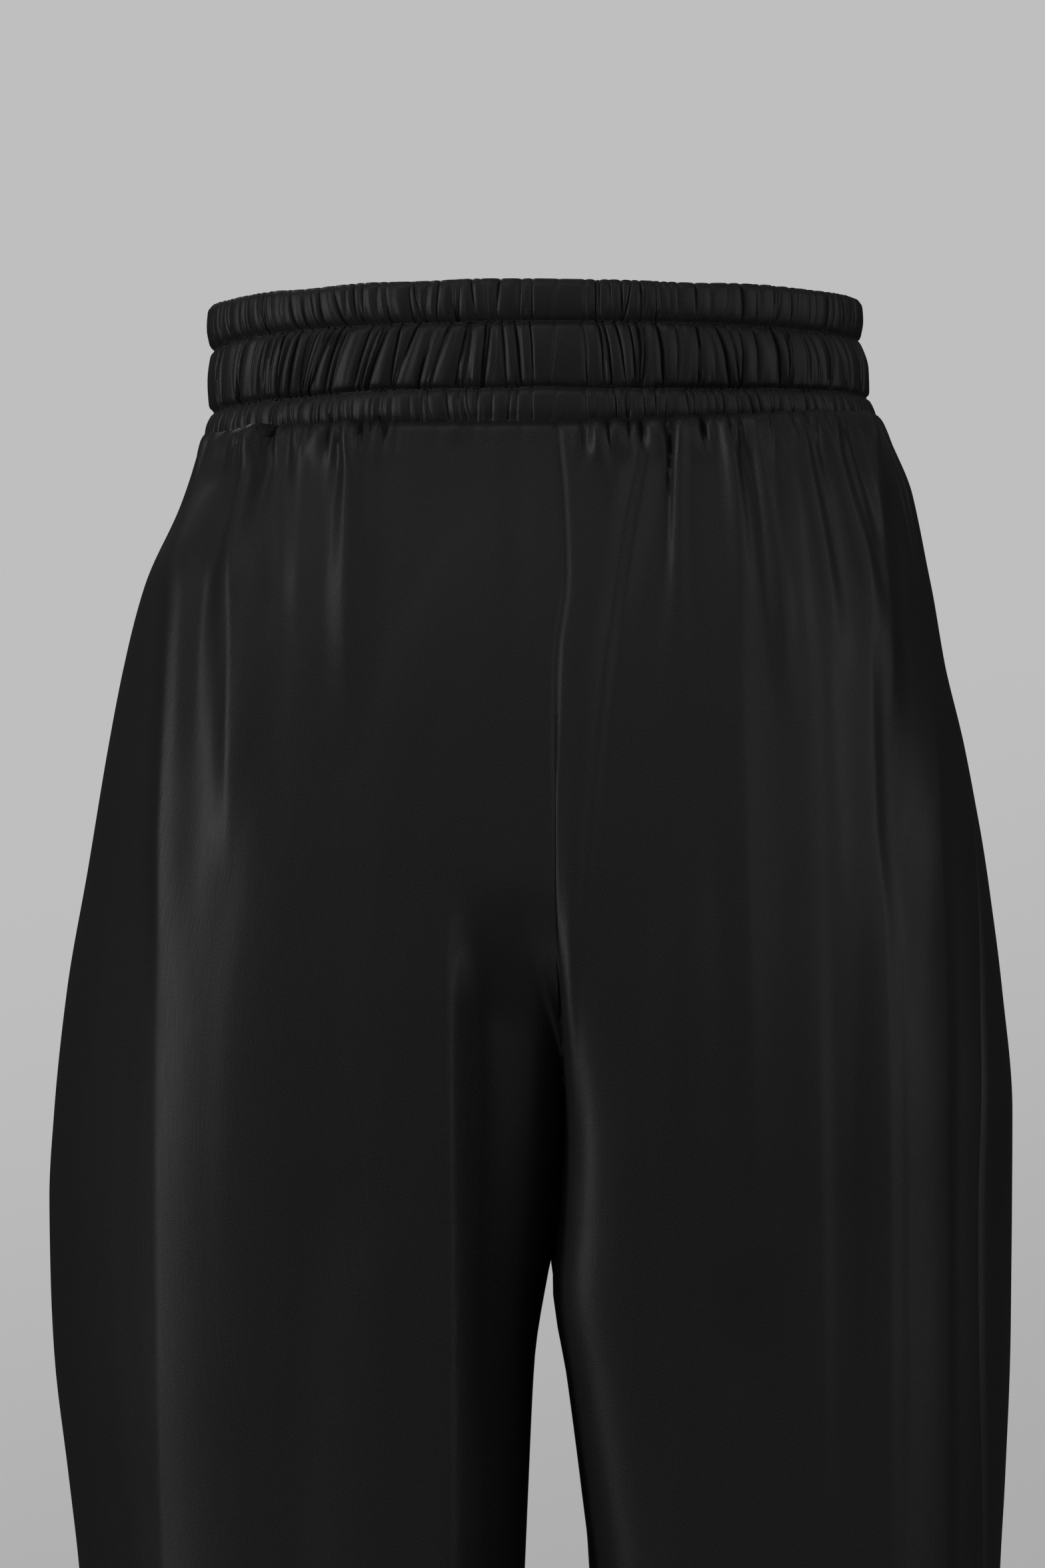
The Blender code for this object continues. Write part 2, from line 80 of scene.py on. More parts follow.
# A section of the garment: how far it reaches to each side, where the inner faces stand, the
# fullest depths behind and in front, the widest point's depth, and where the cloth is fullest
Section = namedtuple("Section", "z left right left_in right_in back front mid "
                                "left_turn right_turn front_turn")
SECTIONS = (
    Section(-0.0265, .1325, .1248, -.0022, -.0022, .0890, -.0880, .000, .048, .046, .046),
    Section(-0.0360, .1354, .1306, -.0030, -.0030, .0915, -.0905, .000, .049, .047, .047),
    Section(-0.0513, .1412, .1386, -.0044, -.0044, .0955, -.0945, .000, .050, .048, .048),
    Section(-0.0821, .1548, .1460, -.0054, -.0054, .1040, -.1000, .000, .051, .046, .050),
    Section(-0.1129, .1628, .1514, -.0021, -.0021, .1115, -.1035, .000, .052, .043, .051),
    Section(-0.1436, .1687, .1586, -.0016, -.0016, .1175, -.1055, .001, .052, .040, .052),
    Section(-0.1898, .1764, .1670, -.0014, -.0014, .1240, -.1065, .002, .050, .037, .054),
    Section(-0.2359, .1844, .1732, -.0034, -.0034, .1265, -.1065, .003, .047, .035, .056),
    Section(-0.2821, .1893, .1770, -.0052, -.0052, .1250, -.1065, .004, .046, .035, .058),
    Section(-0.3150, .1912, .1768, -.0035, -.0035, .1225, -.1060, .004, .047, .036, .060),
    Section(-0.3436, .1908, .1765, +.0021, -.0010, .1205, -.1055, .004, .048, .038, .063),
    Section(-0.3744, .1893, .1760, +.0067, -.0056, .1185, -.1050, .005, .050, .041, .067),
    Section(-0.4205, .1839, .1742, +.0090, -.0115, .1155, -.1040, .005, .052, .047, .075),
    Section(-0.4592, .1795, .1719, +.0105, -.0156, .1130, -.1025, .006, .056, .053, .083),
    Section(-0.5700, .1730, .1691, +.0140, -.0200, .1065, -.0980, .006, .078, .076, .093),
    Section(-0.8000, .1725, .1696, +.0180, -.0240, .0990, -.0890, .005, .094, .095, .096),
    Section(-1.0200, .1780, .1761, +.0200, -.0270, .1010, -.0880, .006, .099, .101, .099),
)

# Inner corners of a section, and how far the right side seam lies inside the outline
Corner = namedtuple("Corner", "z left_corner right_corner front_corner seam_in")
CORNERS = (
    Corner(-0.0265, .050, .040, .050, .0000),
    Corner(-0.0821, .050, .040, .050, .0003),
    Corner(-0.1436, .050, .038, .050, .0016),
    Corner(-0.1898, .050, .036, .050, .0070),
    Corner(-0.2359, .050, .034, .050, .0130),
    Corner(-0.2821, .052, .034, .050, .0172),
    Corner(-0.3150, .054, .036, .050, .0180),
    Corner(-0.3436, .057, .040, .053, .0175),
    Corner(-0.3744, .061, .045, .058, .0165),
    Corner(-0.4205, .070, .056, .068, .0130),
    Corner(-0.4592, .082, .068, .080, .0100),
    Corner(-0.5700, .130, .120, .120, .0060),
    Corner(-0.8000, .200, .200, .200, .0020),
    Corner(-1.0200, .200, .200, .200, .0000),
)

# Rings of the waistband at its crests, with the depth of its gathers and its rise at the sides
BandRing = namedtuple("BandRing", "z left right back front gather left_lift right_lift")
BAND_RINGS = (
    BandRing(+.0263, .1298, .1188, .0868, -.0868, .0010, -.0015, +.0005),
    BandRing(+.0243, .1314, .1200, .0885, -.0885, .0021, -.0018, +.0004),
    BandRing(+.0187, .1318, .1204, .0890, -.0890, .0026, -.0023, +.0002),
    BandRing(+.0134, .1308, .1196, .0882, -.0882, .0020, -.0028, +.0000),
    BandRing(+.0113, .1288, .1182, .0862, -.0862, .0009, -.0030, +.0000),
    BandRing(+.0092, .1300, .1196, .0880, -.0880, .0020, -.0030, +.0003),
    BandRing(-.0010, .1312, .1224, .0893, -.0893, .0030, -.0027, +.0014),
    BandRing(-.0112, .1306, .1226, .0884, -.0884, .0022, -.0025, +.0027),
    BandRing(-.0132, .1290, .1214, .0863, -.0863, .0009, -.0025, +.0030),
    BandRing(-.0153, .1304, .1228, .0878, -.0878, .0018, -.0022, +.0038),
    BandRing(-.0208, .1322, .1246, .0884, -.0884, .0020, -.0012, +.0058),
    BandRing(-.0265, .1328, .1257, .0872, -.0872, .0010, -.0003, +.0080),
)
BAND_INSIDE = BandRing(0.0, .1262, .1158, .0836, -.0836, 0, 0, 0)
JOIN_PATCH = (-0.0125, 0.0070)
PATCH_EASE = 0.004

# Channels of the waistband, from the top: heights, gathers all round, how deep they are cut, how far
# they lean behind on the left and elsewhere, how much each leans its own way, rows of points
Channel = namedtuple("Channel", "name z_top z_foot gathers depth lean_left lean wander rows seed")
CHANNELS = (
    Channel("top", +.0263, +.0113, 150, .0011, -.0020, +.0005, .0016, 16, 11),
    Channel("middle", +.0113, -.0132, 144, .0016, +.0085, -.0010, .0020, 20, 23),
    Channel("bottom", -.0132, -.0265, 180, .0009, -.0008, +.0004, .0010, 13, 37),
)
CREASE_PHASES = (0.0, 0.06, 0.16, 0.30, 0.44, 0.57, 0.70, 0.85, 0.94)
CREASE_WIDTH = .00055            # half-width of the sharp valley between two gathers
PINCH_LENGTH = .0034             # short pinches run this far from a stitched line
RIPPLE = 0.13                    # fine wrinkles on top of the gathers, as a share of their depth
TEETH = .0006                    # how far an edge dips at each crease
PATCH_LINES_TOP = (-.0080, -.0028, +.0025)     # the middle one is the waistband's own join
PATCH_LINES_FOOT = (-.0060, +.0012, +.0045)
JOIN_SEAM_DEPTH = .28
USUAL_GATHER = .006
LEAST_GATHER = .0009
LINE_WAVE = .0005
LINE_SEED = 61
LINE_ROUND = .110
LINE_CELL = .020
BAND_INSIDE_ROWS = 4
BAND_LINE_POINTS = 720
PATH_STEP = .0004                # the way along a ring is taken between points this far off

# How uneven the waistband's creases are. A range is drawn from evenly, a (middle, spread) normally.
WIDTH_SPREAD = 0.50
WIDTH_LIMITS = (0.38, 2.4)
DEPTHS_TOP = (0.10, 1.10)
DEPTHS_FOOT = (0.2, 1.2)
SHALLOW_SHARE = 0.25             # this share of the creases is hardly there at the foot
SHALLOW = 0.1
ARCHES = (0.25, 1.0)
TILTS = (0.15, 0.45)
PATCH_DEPTH = 0.5
LEFT_BACK_START = (.015, .05)    # the left back, as shares of the way round
LEFT_BACK_END = (.13, .22)
LEAN_EASE = .02

# Form of one crease: its valley, the arched cloth between two, and what dies out near a stitched line
VALLEY_SHARP = 1.3
ARCH = 0.45
TILT = 0.55
WIDEST = 1.4
TEETH_REACH = .0012
PINCH_PHASES = (("pinch_high", 0.30), ("pinch_low", 0.70))
PINCH_AT_FOOT = 1.5
PINCH_AT_TOP = 0.8
GROOVE_CALM = 0.35
GROOVE_REACH = .0022

# Worked holes for the drawstring, at the front of the middle channel
HOLE_X = 0.019
HOLE_Z = -0.0015
HOLE_HEIGHT = 0.011
HOLE_WIDTH = 0.0042
HOLE_RIM = 0.0008
HOLE_FLAT = 0.0045
HOLE_PROUD = .0006
HOLE_PITCH = .00062
HOLE_BITE = .0024                # length of a stitch across the edge of a hole
HOLE_DIMPLE = .0016
HOLE_DIMPLE_EDGE = (0.55, 1.05)  # where the dimple ends, as shares of the hole's half sizes
HOLE_OVERLAP = 1.15
HOLE_TILT = 0.06
HOLE_RIM_POINTS = 96

# Sewing: how deep stitches lie, and the short runs sewn twice beside the join behind. start and end
# are shares of the way round, above and proud how far the second run lies from the first.
STITCH_SINK = .0001
STITCH_SHARE = 0.78              # length of a stitch as a share of its pitch
STITCH_TILT = 0.14
HEM_STITCH_PROUD = .0001
HEM_STITCH_LENGTH = .0012
OVERSEWN_POINTS = 24
Oversewn = namedtuple("Oversewn", "line_z start end above proud")
OVERSEWN = (
    Oversewn(-.0132, -.0060, +.0175, -.0009, +.0003),
    Oversewn(-.0132, -.0380, -.0290, +.0008, +.0003),
    Oversewn(+.0113, -.0020, +.0160, +.0009, +.0003),
)

# Creases of the legs. x is where a crease lies at its top, middle and foot, seen square to the
# back or front. outer and inner are its half-widths away from and towards the middle, and crisp
# goes from 0 for a round crest to 1 for a sharp one.
Crease = namedtuple("Crease", "face x_top x_mid x_foot z_top z_foot outer inner rise crisp")
CREASES = (
    # The largest folds, and the streaks beside them
    Crease("back", +.1310, +.1365, +.1060, -.040, -.820, .046, .072, +.0078, 0.85),
    Crease("back", +.1270, +.1340, +.1370, -.010, -.250, .010, .014, +.0036, 0.80),
    Crease("back", +.1200, +.1235, +.1260, +.020, -.170, .006, .009, -.0022, 0.30),
    Crease("back", +.1080, +.1120, +.1140, +.020, -.200, .007, .018, +.0034, 0.70),
    Crease("back", +.0960, +.0990, +.0980, +.020, -.120, .009, .009, -.0022, 0.10),
    Crease("back", +.0760, +.0740, +.0740, +.020, -.150, .010, .016, +.0022, 0.50),
    Crease("back", +.0640, +.0700, +.0740, -.300, -.800, .026, .026, +.0022, 0.00),
    Crease("back", +.1150, +.1180, +.1240, -.620, -1.10, .024, .024, +.0046, 0.20),
    Crease("back", -.0360, -.0290, -.0180, +.020, -.110, .012, .012, -.0018, 0.20),
    Crease("back", -.0380, -.0180, -.0100, -.010, -.230, .005, .009, +.0022, 0.50),
    Crease("back", -.0660, -.0705, -.0730, -.020, -.340, .007, .014, +.0014, 0.40),
    Crease("back", -.0880, -.0950, -.0985, -.020, -.480, .007, .014, +.0013, 0.40),
    Crease("back", -.1120, -.1190, -.1200, -.040, -.500, .006, .011, +.0016, 0.60),
    Crease("back", -.1080, -.1205, -.1235, +.020, -.150, .009, .015, +.0032, 0.50),
    Crease("back", -.0800, -.0840, -.0850, +.020, -.130, .010, .010, +.0020, 0.40),
    Crease("back", -.1230, -.1270, -.1180, -.170, -.660, .024, .024, +.0044, 0.20),
    Crease("back", -.0700, -.0760, -.0840, -.320, -.780, .024, .024, -.0030, 0.00),
    Crease("back", -.1080, -.1150, -.1200, -.560, -1.10, .026, .026, +.0050, 0.20),
    Crease("front", +.1200, +.1270, +.1180, -.020, -.600, .016, .036, +.0064, 0.60),
    Crease("front", +.0820, +.0880, +.0900, +.020, -.190, .009, .014, +.0026, 0.50),
    Crease("front", +.0480, +.0520, +.0540, +.020, -.140, .010, .010, -.0020, 0.10),
    Crease("front", +.0740, +.0800, +.0900, -.280, -1.10, .026, .026, +.0046, 0.20),
    Crease("front", -.1130, -.1200, -.1150, -.020, -.580, .017, .034, +.0062, 0.60),
    Crease("front", -.0780, -.0850, -.0880, +.020, -.170, .009, .014, +.0026, 0.50),
    Crease("front", -.0440, -.0480, -.0500, +.020, -.150, .010, .010, -.0020, 0.10),
    Crease("front", -.0720, -.0800, -.0900, -.290, -1.10, .026, .026, +.0044, 0.20),
    # Finer ones, too low for the solids
    Crease("back", +.0380, +.0375, +.0420, -.190, -.800, .040, .010, +.0014, 0.60),
    Crease("back", -.0470, -.0500, -.0560, -.170, -.560, .022, .018, +.0012, 0.30),
    Crease("back", -.0960, -.1010, -.1040, +.000, -.260, .012, .016, +.0013, 0.50),
    Crease("back", -.1420, -.1440, -.1440, -.120, -.900, .008, .016, +.0016, 0.70),
    Crease("back", +.0100, +.0060, +.0020, -.020, -.150, .014, .020, -.0010, 0.00),
    Crease("front", +.0300, +.0340, +.0400, -.200, -.760, .040, .022, +.0030, 0.60),
    Crease("front", -.0280, -.0330, -.0400, -.210, -.700, .040, .022, +.0030, 0.60),
)
CREASE_FADE = 0.045
FOOT_FADE = 0.200
INNER_CRISP = 0.20               # the side of a crest towards the middle is rounder

# Gathers and pinches right under the waist seam, placed one by one where they show. x is where each
# starts, spread how much further out it lies 100 mm down, rise its height, negative for a pinch.
Gather = namedtuple("Gather", "face x spread width length rise")
GATHERS = (
    Gather("back", +.1260, .034, .0020, .022, -.0014),
    Gather("back", +.1197, .030, .0022, .030, -.0016),
    Gather("back", +.1150, .028, .0040, .060, +.0012),
    Gather("back", +.1067, .014, .0042, .120, +.0030),
    Gather("back", +.1025, .010, .0022, .050, -.0024),
    Gather("back", +.0963, .010, .0016, .020, -.0014),
    Gather("back", +.0915, .010, .0038, .045, +.0010),
    Gather("back", +.0769, .004, .0020, .032, -.0022),
    Gather("back", +.0730, .002, .0038, .095, +.0024),
    Gather("back", +.0611, .004, .0015, .012, -.0012),
    Gather("back", +.0350, .004, .0030, .010, +.0007),
    Gather("back", -.0135, -.002, .0018, .016, -.0012),
    Gather("back", -.0175, -.004, .0040, .030, +.0008),
    Gather("back", -.0435, -.003, .0013, .080, -.0015),
    Gather("back", -.0470, -.003, .0036, .120, +.0018),
    Gather("back", -.0599, .006, .0018, .020, -.0012),
    Gather("back", -.0640, .010, .0036, .100, +.0022),
    Gather("back", -.0686, .010, .0017, .032, -.0020),
    Gather("back", -.0740, .012, .0032, .125, +.0025),
    Gather("back", -.0798, .014, .0018, .038, -.0020),
    Gather("back", -.0837, .016, .0016, .020, -.0012),
    Gather("back", -.0895, .018, .0034, .110, +.0023),
    Gather("back", -.0967, .020, .0018, .030, -.0020),
    Gather("back", -.1010, .024, .0034, .115, +.0025),
    Gather("back", -.1085, .026, .0018, .060, -.0021),
    Gather("back", -.1150, .034, .0030, .040, +.0010),
    Gather("back", -.1190, .040, .0016, .026, -.0014),
    Gather("front", +.1210, .030, .0020, .028, -.0015),
    Gather("front", +.1120, .026, .0042, .090, +.0018),
    Gather("front", +.1010, .020, .0020, .045, -.0022),
    Gather("front", +.0900, .016, .0040, .070, +.0014),
    Gather("front", +.0850, .014, .0016, .024, -.0016),
    Gather("front", +.0710, .012, .0040, .100, +.0014),
    Gather("front", +.0660, .010, .0018, .040, -.0019),
    Gather("front", +.0540, .008, .0036, .050, +.0011),
    Gather("front", +.0430, .006, .0017, .026, -.0016),
    Gather("front", +.0330, .004, .0036, .060, +.0010),
    Gather("front", +.0150, .002, .0018, .020, -.0012),
    Gather("front", -.0120, .002, .0030, .030, +.0008),
    Gather("front", -.0240, .004, .0018, .034, -.0017),
    Gather("front", -.0370, .006, .0038, .080, +.0013),
    Gather("front", -.0520, .008, .0018, .028, -.0018),
    Gather("front", -.0590, .010, .0036, .055, +.0012),
    Gather("front", -.0680, .012, .0018, .044, -.0021),
    Gather("front", -.0790, .014, .0040, .095, +.0015),
    Gather("front", -.0880, .018, .0018, .030, -.0018),
    Gather("front", -.0960, .022, .0038, .060, +.0014),
    Gather("front", -.1060, .026, .0020, .050, -.0020),
    Gather("front", -.1130, .032, .0036, .040, +.0012),
)
GATHER_SPREAD_AT = 0.100
GATHER_WIDENS = 1.6              # a gather is this much wider again at its foot
GATHER_FULL = 0.15               # it keeps its height over this share of its length

# Smaller gathers where the cloth turns round the side, from a share of the way to the side seam
SIDE_GATHERS = 22
SIDE_START = {"back": 0.80, "front": 0.72}
SIDE_END = 0.985
SIDE_JITTER = (0.15, 0.85)
SIDE_LENGTHS = (.012, .075)
SIDE_WIDTHS = (.0012, .0026)
SIDE_HEIGHTS = (.0006, .0016)
SIDE_FULL = 0.10
SIDE_SEED = 71

# The cloth puffs out over the waist seam, and its edge there waves
PUFF = .0022
PUFF_REACH = .020                # the puffs have died away this far below the seam
PUFF_WIDTHS = (.0030, .0140)     # from one pinch to the next, along the seam
PUFF_ASIDE = 0.35                # how much of the puffs is left where the cloth faces sideways
PUFF_FACING = (0.25, 0.70)
PUFF_HEIGHTS = (0.35, 1.0)
PUFF_LEAST = 0.15
PUFF_ROUND = 0.7
PUFF_WIDEST = 1.2
PUFF_PEAK = 9.5                  # brings the fade to 1 at its peak, a quarter of the way down
PUFF_SEED = 211
USUAL_PUFF = .0065
PINCH = .0030                    # how deep the cloth is drawn in between two puffs
PINCH_HALF = .0011
PINCH_REACH = (.004, .015)
PINCH_DEPTHS = (0.15, 1.0)
PINCH_WIDENS = 0.8
PINCH_SHARP = 1.4
PINCH_FULL = 0.15
FLAT_STRETCH = (-.010, .062)     # hardly gathered behind
FLAT_EASE = (.006, .010)
FLAT_SHARE = 0.10
EDGE_TUCK = .0019
EDGE_TUCK_FADE = (.0002, .0022)
EDGE_WAVE = .0013
EDGE_RISE = .0010                # the raw edge goes up behind the waistband
EDGE_FADE = (.001, .009)
SEAM_DIP = .0010                 # edges roll in at every seam
SEAM_ROLL = .0024                # over this much
RISE_ENDS = (.310, .330)         # depths below the waist where the rise seams turn into the inseams
GATHER_SEAM = (.0015, .008)      # gathers die out this near a seam
CREASE_SEAM = (.010, .024)       # and creases this near
FACING = (0.10, 0.45)            # creases only lift cloth that faces back or front

# Soft unevenness of the leg pieces: the size of its cells across and down the cloth, and its height
Unevenness = namedtuple("Unevenness", "across down height")
UNEVEN = (
    Unevenness(.055, .30, .0010),
    Unevenness(.024, .15, .0004),
    Unevenness(.009, .11, .00013),
)
UNEVEN_TOP = (.010, .080)
UNEVEN_SEAM = (.002, .030)
UNEVEN_SEED = 100
DRIFT_CELLS = 64
DRIFT_START = (17.3, 29.7)

# Behind, the left leg piece has a hollow under the seat, from a crisp edge to the rise seam, and the
# right one stands up beside the seam in a soft lip
HOLLOW = .0195
HOLLOW_LOW = .0110               # how deep it stays further down the leg
HOLLOW_STEEP = 0.27              # share of its width in which its edge falls
HOLLOW_ROUND = 1.6
HOLLOW_RISES = 0.30              # how much of its depth is gone again at the seam
HOLLOW_EDGE = .0375
HOLLOW_END = -.0030
HOLLOW_TOP = (.190, .245)
HOLLOW_EASE = (.330, .440)
HOLLOW_FOOT = (.620, .850)
HOLLOW_SEAM = .020               # it dies out this near the rise seam
LIP = .0007
LIP_AT = -.0060
LIP_WIDTH = .0040
LIP_TOP = (.060, .120)
LIP_FOOT = (.290, .340)
SEAT_FILL = .80                  # the cloth stays this much flatter beside the seam behind
SEAT_FILL_FADE = (.190, .300)

# Hem: turned up inside, and sewn through near the top of the turning
HEM_STITCHED = 0.018
HEM_DIMPLE = .0004
HEM_DIMPLE_WIDTH = .0018

# Settings of the fine shells
LEG_SHARP_ANGLE = math.radians(50)
BAND_SHARP_ANGLE = math.radians(75)
OUTER_COLUMNS = {"back": 150, "front": 100}
INNER_COLUMNS = 58
ROW_STEPS = ((WAIST_SEAM - SEAM_GAP, -0.0600, .0011), (-0.0600, -0.2900, .0033),
             (-0.2900, -0.3080, .0014), (-0.3080, CROTCH, .0006), (CROTCH, -0.3400, .0016),
             (-0.3400, -1.0000, .0082), (-1.0000, HEM, .0025))


def ease(value, low, high):
    """0 at low, 1 at high, smooth between."""
    share = np.clip((value - low) / (high - low), 0.0, 1.0)
    return share * share * (3.0 - 2.0 * share)


def along(rows, column, z):
    """A named column of a table of rows, read at heights z on a curve that never overshoots."""
    height, value = np.array(sorted((row.z, getattr(row, column)) for row in rows)).T
    slope = np.diff(value) / np.diff(height)
    before, after = slope[:-1], slope[1:]
    same = before * after > 0
    turn = np.r_[slope[0], np.where(same, 2 * before * after / np.where(same, before + after, 1), 0),
                 slope[-1]]
    z = np.clip(z, height[0], height[-1])
    i = np.clip(np.searchsorted(height, z) - 1, 0, len(slope) - 1)
    step = height[i + 1] - height[i]
    t = (z - height[i]) / step
    return ((2 * t ** 3 - 3 * t ** 2 + 1) * value[i] + (t ** 3 - 2 * t ** 2 + t) * step * turn[i]
            + (3 * t ** 2 - 2 * t ** 3) * value[i + 1] + (t ** 3 - t ** 2) * step * turn[i + 1])


def rise_depth(z, fullest, turn):
    """Depth of a rise seam at height z: with the cloth above its turn, then down and under."""
    if z >= turn:
        return fullest
    if z <= CROTCH:
        return CROTCH_Y
    share = (z - CROTCH) / (turn - CROTCH)
    return CROTCH_Y + (fullest - CROTCH_Y) * (1 - (1 - share) ** RISE_POWER) ** (1 / RISE_POWER)


def quarter(start, end, first_along_y, power):
    """A quarter of a superellipse from start to end, that leaves start along Y or along X."""
    angle = np.linspace(0.0, 0.5 * math.pi, ARC_STEPS + 1)
    far = np.sin(angle) ** (2 / power)
    near = 1 - np.abs(np.cos(angle)) ** (2 / power)
    share_x, share_y = (near, far) if first_along_y else (far, near)
    return np.column_stack((start[0] + (end[0] - start[0]) * share_x,
                            start[1] + (end[1] - start[1]) * share_y))


def lengths_along(path):
    """The distance from a path's start to each of its points."""
    return np.r_[0.0, np.cumsum(np.hypot(*np.diff(path, axis=0).T))]


def inner_arc(seam, turn, corner, power):
    """From a rise seam straight along the inner face, then round the corner to the turn."""
    depth = turn[1] - seam[1]
    rounded = corner * math.tanh(depth / corner)
    corner_start = (seam[0], turn[1] - rounded)
    straight = np.linspace(seam, corner_start, ARC_STEPS // 4, endpoint=False)
    return np.vstack((straight, quarter(corner_start, turn, True, power)))


def leg_path(side, face, z):
    """One leg piece's section at height z, from rise seam or inseam to side seam, and its turn."""
    name = "left" if side > 0 else "right"
    reach = side * along(SECTIONS, name, z)
    inner = along(SECTIONS, name + "_in", z) - side * SEAM_LAP * (z > CROTCH)
    back, front = along(SECTIONS, "back", z), along(SECTIONS, "front", z)
    mid = along(SECTIONS, "mid", z)
    back_turn = (side * along(SECTIONS, name + "_turn", z), back)
    front_turn = (side * along(SECTIONS, "front_turn", z), front)
    back_outer = quarter(back_turn, (reach, mid), False, OUTER_POWER)
    inset = along(CORNERS, "seam_in", z) if side < 0 else 0.0
    goal = abs(reach) - inset
    cut = int(np.searchsorted(np.abs(back_outer[:, 0]), goal - 1e-6))
    cut = min(max(cut, 1), ARC_STEPS)
    a, b = back_outer[cut - 1], back_outer[cut]
    share = min(1.0, max(0.0, (goal - abs(a[0])) / max(abs(b[0]) - abs(a[0]), 1e-9)))
    seam_point = a + (b - a) * share
    if face == "back":
        seam = (inner, rise_depth(z, back, BACK_RISE_TURN) + SEAM_APART)
        arc = inner_arc(seam, back_turn, along(CORNERS, name + "_corner", z),
                        INNER_POWERS["back", side])
        return np.vstack((arc, back_outer[1:cut], [seam_point])), len(arc) - 1
    seam = (inner, rise_depth(z, front, FRONT_RISE_TURN) - SEAM_APART)
    arc = inner_arc(seam, front_turn, along(CORNERS, "front_corner", z),
                    INNER_POWERS["front", side])
    front_outer = quarter((reach, mid), front_turn, True, OUTER_POWER)
    rest = np.vstack(([seam_point], back_outer[cut:], front_outer[1:-1]))[::-1]
    return np.vstack((arc, rest)), len(arc) - 1


def row_heights():
    """Heights of the fine rows, closer together at the waist and where the rise seam turns."""
    heights = []
    for high, low, step in ROW_STEPS:
        heights += list(np.linspace(high, low, round((high - low) / step), endpoint=False))
    return np.array(heights + [HEM])


def drift(u, v, cell_u, cell_v, seed):
    """Smooth uneven values from -1 to 1 over a plane, with cells of the sizes given."""
    table = np.random.default_rng(seed).uniform(-1.0, 1.0, (DRIFT_CELLS, DRIFT_CELLS))
    u, v = u / cell_u + DRIFT_START[0], v / cell_v + DRIFT_START[1]
    iu, iv = np.floor(u).astype(int), np.floor(v).astype(int)
    fu, fv = u - iu, v - iv
    fu, fv = fu * fu * (3 - 2 * fu), fv * fv * (3 - 2 * fv)
    iu, iv, next_u, next_v = (index % DRIFT_CELLS for index in (iu, iv, iu + 1, iv + 1))
    a, b = table[iu, iv], table[next_u, iv]
    c, d = table[iu, next_v], table[next_u, next_v]
    return (a * (1 - fu) + b * fu) * (1 - fv) + (c * (1 - fu) + d * fu) * fv


def crease_rise(face, x, z):
    """How far the listed creases lift the cloth."""
    rise = np.zeros_like(x)
    for crease in CREASES:
        if crease.face != face:
            continue
        down = (crease.z_top - z) / (crease.z_top - crease.z_foot)
        centre = ((1 - down) * (1 - 2 * down) * crease.x_top + 4 * down * (1 - down) * crease.x_mid
                  + down * (2 * down - 1) * crease.x_foot)
        away = (x - centre) * np.sign(crease.x_mid)
        across = np.clip(np.abs(away) / np.where(away > 0, crease.outer, crease.inner), 0, 1)
        foot_fade = min(FOOT_FADE, (crease.z_top - crease.z_foot) / 3)
        fades = ease(z - crease.z_foot, 0.0, foot_fade) * ease(crease.z_top - z, 0.0, CREASE_FADE)
        crisp = crease.crisp * np.where(away > 0, 1.0, INNER_CRISP)
        form = (1 - crisp) * np.cos(0.5 * math.pi * across) ** 2 + crisp * (1 - across) ** 2
        rise += crease.rise * fades * form
    return rise


def waist_lift(x, z):
    """How much the waist seam, and the cloth near it, rises at this side of the garment."""
    ring = BAND_RINGS[-1]
    reach = np.where(x > 0, ring.left, ring.right)
    lift = np.where(x > 0, ring.left_lift, ring.right_lift)
    near = 1 - ease(WAIST_SEAM - z, 0.0, LIFT_ENDS)
    return lift * near * np.minimum(1.0, np.abs(x) / reach) ** 2


def grid_mesh(name, points, uv, close_rows=False, close_columns=False, flip=False):
    """A smooth mesh of quads over a grid of points, with a UV map in metres."""
    rows, columns = points.shape[:2]
    index = np.arange(rows * columns).reshape(rows, columns)
    if close_rows:
        index = np.vstack((index, index[:1]))
    if close_columns:
        index = np.hstack((index, index[:, :1]))
    quads = np.stack((index[:-1, :-1], index[:-1, 1:], index[1:, 1:], index[1:, :-1]), axis=-1)
    quads = quads.reshape(-1, 4)
    if flip:
        quads = quads[:, ::-1]
    mesh = bpy.data.meshes.new(name)
    mesh.from_pydata(points.reshape(-1, 3).tolist(), [], quads.tolist())
    layer = mesh.uv_layers.new(name="cloth")
    uv_rows, uv_columns = uv.shape[:2]
    place = np.arange(uv_rows * uv_columns).reshape(uv_rows, uv_columns)
    corners = np.stack((place[:-1, :-1], place[:-1, 1:], place[1:, 1:], place[1:, :-1]), axis=-1)
    corners = corners.reshape(-1, 4)
    if flip:
        corners = corners[:, ::-1]
    layer.data.foreach_set("uv", uv.reshape(-1, 2)[corners.reshape(-1)].astype(np.float32).ravel())
    mesh.shade_smooth()
    mesh.validate()
    return mesh


def place_piece(name, mesh, material, nodes):
    """A finished piece on the garment's one body, in place of its CAD nodes."""
    piece = bpy.data.objects.new(name, mesh)
    bpy.context.scene.collection.objects.link(piece)
    mesh.materials.clear()
    mesh.materials.append(material)
    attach(piece, "root")
    if nodes:
        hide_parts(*nodes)
    return piece


def bake_modifiers(piece, sharp_angle=None):
    """Turn a piece's modifiers into its own mesh."""
    graph = bpy.context.evaluated_depsgraph_get()
    mesh = bpy.data.meshes.new_from_object(piece.evaluated_get(graph))
    mesh.name = piece.name
    piece.modifiers.clear()
    piece.data = mesh
    if sharp_angle is not None:
        mesh.shade_smooth()
        mesh.set_sharp_from_angle(angle=sharp_angle)


